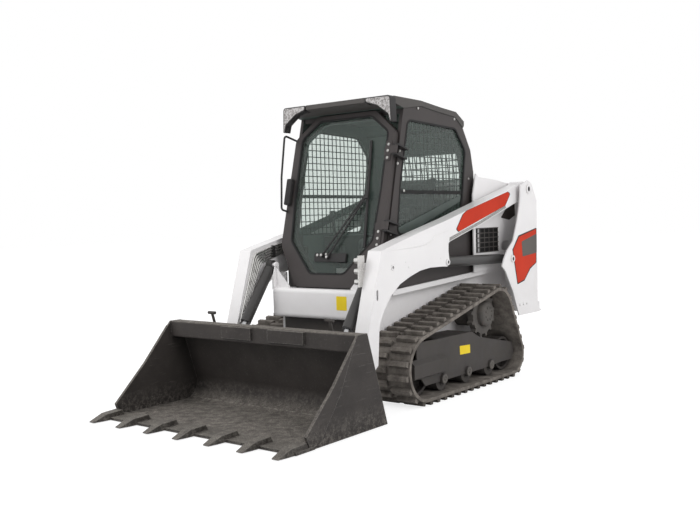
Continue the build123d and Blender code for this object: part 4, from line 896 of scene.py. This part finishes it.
def side_details():
    """Hatched strips, blank plates, the chin's guard and the raised crease along each arm."""
    both_films("tick_strips", "arms", TICKS, TICK_STRIP, ARM_SIDE, radius=0.002)
    both_films("body_decals", "chassis", DARK_FILM, BODY_DECAL, BODY_SIDE, radius=0.006)
    both_films("frame_plates", "chassis", YELLOW_FILM, FRAME_PLATE, TRACK_FRAME_SIDE, radius=0.005)
    film("beam_plate", "arms", YELLOW_FILM, FRONT, box_outline(*BEAM_PLATE), BEAM_FRONT, 0.006)
    guard = Piece().prism(FRONT, rounded(box_outline(*GUARD_PLATE), 0.02), CHIN_FRONT, GUARD_FACE)
    for x in (-0.330, -0.110, 0.110, 0.330):
        guard.bolt(FRONT, x, 0.540, GUARD_FACE, 0.009, 0.006)
    guard.make("front_guard", "chassis", FRAME_STEEL, bevel=0.001)
    path = smooth_line([(ARM_SIDE - 0.0005, y, z) for y, z in CREASE])
    count = len(path) - 1
    radii = [0.0012 + 0.0032 * math.sin(math.pi * i / count) for i in range(count + 1)]
    Piece().tube(path, radii, 10).both_sides().make("arm_creases", "arms", WHITE)


SIDE_GRILLE = (0.872, 1.233, 0.898, 1.098)
GATE_INLET = (-0.302, 0.302, 0.838, 1.192)
LOUVRE_SLOPE = ((1.170, 1.4150), (1.382, 1.3920), (1.382, 1.3900), (1.170, 1.4130))
LOUVRE_HALF = 0.325


def grille_shade_sheets():
    """Dark sheets of painted shade behind the side meshes, the tailgate's inlet and the hood's louvres."""
    sides = Piece().prism(LEFT, box_outline(*SIDE_GRILLE), 0.4560, 0.4585)
    sides.both_sides().make("grille_shade_sheets", "chassis", SEAL_AND_SHADE)
    inlet = Piece().prism(REAR, box_outline(*GATE_INLET), 1.5480, 1.5500)
    inlet.make("inlet_shade_sheet", "tailgate", SEAL_AND_SHADE)
    louvres = Piece().prism(LEFT, LOUVRE_SLOPE, -LOUVRE_HALF, LOUVRE_HALF)
    louvres.make("louvre_shade_sheet", "hood", SEAL_AND_SHADE)


LAMP_OUTLINE = ((0.253, 1.963), (0.262, 1.931), (0.348, 1.905), (0.436, 1.843), (0.450, 1.791),
                (0.462, 1.796), (0.456, 1.963))
LAMP_RADII = (0.006, 0.016, 0.056, 0.018, 0.003, 0.003, 0.018)
LAMP_RIM = 0.0065
LAMP_FACE = (0.1345, 0.1362)     # back and front of the lens, ahead of the origin


def lamp_faces():
    """Patterned lens over the front of each corner lamp, inside a thin black rim."""
    face = Piece().prism(FRONT, rounded(inset(LAMP_OUTLINE, LAMP_RIM), LAMP_RADII), *LAMP_FACE)
    face.both_sides().make("lamp_faces", "chassis", CLEAR_LENS, bevel=0.0005)


COUPLERS_Z = (0.800, 0.865, 0.930)
COUPLER_ROOT = (0.488, -0.530)   # x and y where a coupler leaves its plate
COUPLER_WAY = Vector((-36, -13, 0)).normalized()
CLAMPS = ((-0.100, 0.968, 1.046), (-0.250, 0.930, 1.012))
CLAMP_HALF = 0.014


def fittings():
    """Silver quick couplings on the left arm's plate and clamps over the tubes on the right arm."""
    silver, dark = Piece(), Piece()
    up = Vector((0, 0, 1))
    for z in COUPLERS_Z:
        plane = axes((*COUPLER_ROOT, z), up.cross(COUPLER_WAY), up)
        silver.turned(plane, 0, 0, ((-0.002, 0.0185), (0.006, 0.0185), (0.007, 0.0165), (0.013, 0.0165),
                                    (0.014, 0.0182), (0.024, 0.0182), (0.026, 0.0160), (0.036, 0.0160)), 28)
        dark.turned(plane, 0, 0, ((0.0355, 0.0135), (0.0385, 0.0130)), 24)
    silver.make("coupler_rings", "arms", BOLT_STEEL, bevel=0.0006)
    for y, low, high in CLAMPS:
        outline = rounded(box_outline(y - CLAMP_HALF, y + CLAMP_HALF, low, high), 0.005)
        dark.prism(LEFT, outline, -0.4955, -0.4765)
    dark.make("coupler_caps_and_clamps", "arms", BLACK_PLASTIC, bevel=0.0012)


BEAD_HALF, BEAD_Y, BEAD_Z = 0.755, -0.800, 0.0195
BEAD_STEPS = 90


def floor_bead():
    """Weld seam across the bucket's floor with soil caught along it."""
    points, radii = [], []
    for i in range(BEAD_STEPS + 1):
        ripple = math.sin(i * 2.9) + 0.7 * math.sin(i * 5.3 + 1.0) + 0.5 * math.sin(i * 9.1 + 2.0)
        points.append((BEAD_HALF * (2 * i / BEAD_STEPS - 1), BEAD_Y + 0.002 * ripple, BEAD_Z))
        radii.append(0.0052 + 0.0012 * math.sin(i * 4.1) + 0.0008 * math.sin(i * 7.7))
    Piece().tube(points, radii, 8).make("floor_bead", "bucket", SOIL)


GATE_LATCH, GATE_PULL = (-0.055, 0.055, 0.700, 0.760), (-0.030, 0.030, 0.716, 0.744)
LATCH_TOP, PULL_TOP = GATE_BACK + 0.0045, GATE_BACK + 0.017
HOOD_LATCH_Y = 1.455


def rear_details():
    """Tailgate latch and bolts, and the hood's latches."""
    latch = Piece()
    latch.prism(REAR, rounded(box_outline(*GATE_LATCH), 0.012), GATE_BACK, LATCH_TOP)
    latch.prism(REAR, rounded(box_outline(*GATE_PULL), 0.008), LATCH_TOP, PULL_TOP)
    latch.make("gate_latch", "tailgate", BLACK_PLASTIC, bevel=0.002)
    bolts = Piece()
    for x in (-0.420, 0.420):
        for z in (0.560, 0.900, 1.230):
            bolts.bolt(REAR, x, z, GATE_BACK, 0.008, 0.006)
    bolts.make("gate_bolts", "tailgate", BOLT_STEEL)
    hood = Piece()
    for x in (-0.400, 0.400):
        hood.turned(TOP, x, HOOD_LATCH_Y, ((1.398, 0.018), (1.410, 0.018), (1.413, 0.014)), 24)
    hood.make("hood_latches", "hood", BLACK_PLASTIC, bevel=0.001)


side_details()
grille_shade_sheets()
lamp_faces()
floor_bead()
fittings()
rear_details()


# ---------------------------------------------------------------- seat
VOXEL = 0.0065
PRESSURE = 4
CLOTH_STEPS = 20
FAR = 1.0                        # distance that leaves a point out of a seam


def applied(piece):
    """The piece with its modifiers worked into its mesh."""
    graph = bpy.context.evaluated_depsgraph_get()
    data = bpy.data.meshes.new_from_object(piece.evaluated_get(graph))
    piece.modifiers.clear()
    piece.data = data


def stuffed(name, shape, cap, floor, seams):
    """Cushion: the shape remeshed, blown up by cloth by cap at most and kept above floor, then sewn.

    Each seam is (distance of a point from it, depth, width).
    """
    piece = shape.make(name, "chassis", VINYL, "seat_vinyl")
    grid = piece.modifiers.new("grid", "REMESH")
    grid.mode = "VOXEL"
    grid.voxel_size = VOXEL
    applied(piece)
    start = [v.co.copy() for v in piece.data.vertices]
    cloth = piece.modifiers.new("cloth", "CLOTH")
    cloth.settings.use_pressure = True
    cloth.settings.uniform_pressure_force = PRESSURE
    cloth.settings.effector_weights.gravity = 0
    cloth.point_cache.frame_start = 1
    cloth.point_cache.frame_end = CLOTH_STEPS
    for step in range(1, CLOTH_STEPS + 1):
        bpy.context.scene.frame_set(step)
    applied(piece)
    for vertex, place in zip(piece.data.vertices, start):
        move = vertex.co - place
        if move.length > cap:
            vertex.co = place + move.normalized() * cap
        vertex.co.z = max(vertex.co.z, floor)
    bpy.context.scene.frame_set(1)
    piece.data.shade_smooth()
    smooth = piece.modifiers.new("smooth", "SUBSURF")
    smooth.levels = smooth.render_levels = 1
    applied(piece)
    normals = [v.normal.copy() for v in piece.data.vertices]
    for vertex, normal in zip(piece.data.vertices, normals):
        sunk = sum(depth * math.exp(-(seam(vertex.co) / width) ** 2) for seam, depth, width in seams)
        vertex.co -= normal * sunk
    piece.data.materials.clear()
    piece.data.materials.append(VINYL)
    piece.data.shade_smooth()
    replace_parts(piece, "seat")


CUSHION_CHANNEL, BACK_CHANNEL = 0.120, 0.115    # distance of the long seams from the middle
BACK_PROFILE = ((0.712, 1.050), (0.768, 1.050), (0.846, 1.468), (0.806, 1.482), (0.750, 1.392))


def seat():
    """Moulded base with bellows, seat cushion and back cushion, in place of the CAD seat."""
    base = Piece()
    base.prism(TOP, rounded(box_outline(-0.170, 0.170, 0.330, 0.760), 0.03), 0.820, 0.850)
    for z in (0.858, 0.876, 0.894, 0.912):
        base.prism(TOP, rounded(box_outline(-0.150, 0.150, 0.350, 0.740), 0.04), z - 0.007, z + 0.007)
    base.prism(TOP, rounded(box_outline(-0.185, 0.185, 0.320, 0.765), 0.03), 0.918, 0.934)
    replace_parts(base.make("seat_base", "chassis", BLACK_PLASTIC, bevel=0.003), "seat")
    cushion = Piece().prism(TOP, rounded(box_outline(-0.212, 0.212, 0.305, 0.745), 0.06, 8), 0.936, 1.022)
    stuffed("seat_cushion", cushion, 0.022, 0.934, (
        (lambda p: abs(abs(p.x) - CUSHION_CHANNEL), 0.007, 0.008),
        (lambda p: abs(p.y - 0.560) if abs(p.x) < CUSHION_CHANNEL else FAR, 0.006, 0.008),
        (lambda p: abs(p.z - 0.966), 0.004, 0.006),
    ))
    back = Piece().prism(LEFT, rounded(BACK_PROFILE, (0.01, 0.02, 0.02, 0.015, 0.05)), -0.190, 0.190)
    stuffed("seat_back", back, 0.020, 1.036, (
        (lambda p: abs(abs(p.x) - BACK_CHANNEL), 0.007, 0.008),
        (lambda p: abs(p.z - 1.240) if abs(p.x) < BACK_CHANNEL else FAR, 0.006, 0.008),
        (lambda p: abs(p.z - 1.380), 0.006, 0.008),
    ))


seat()
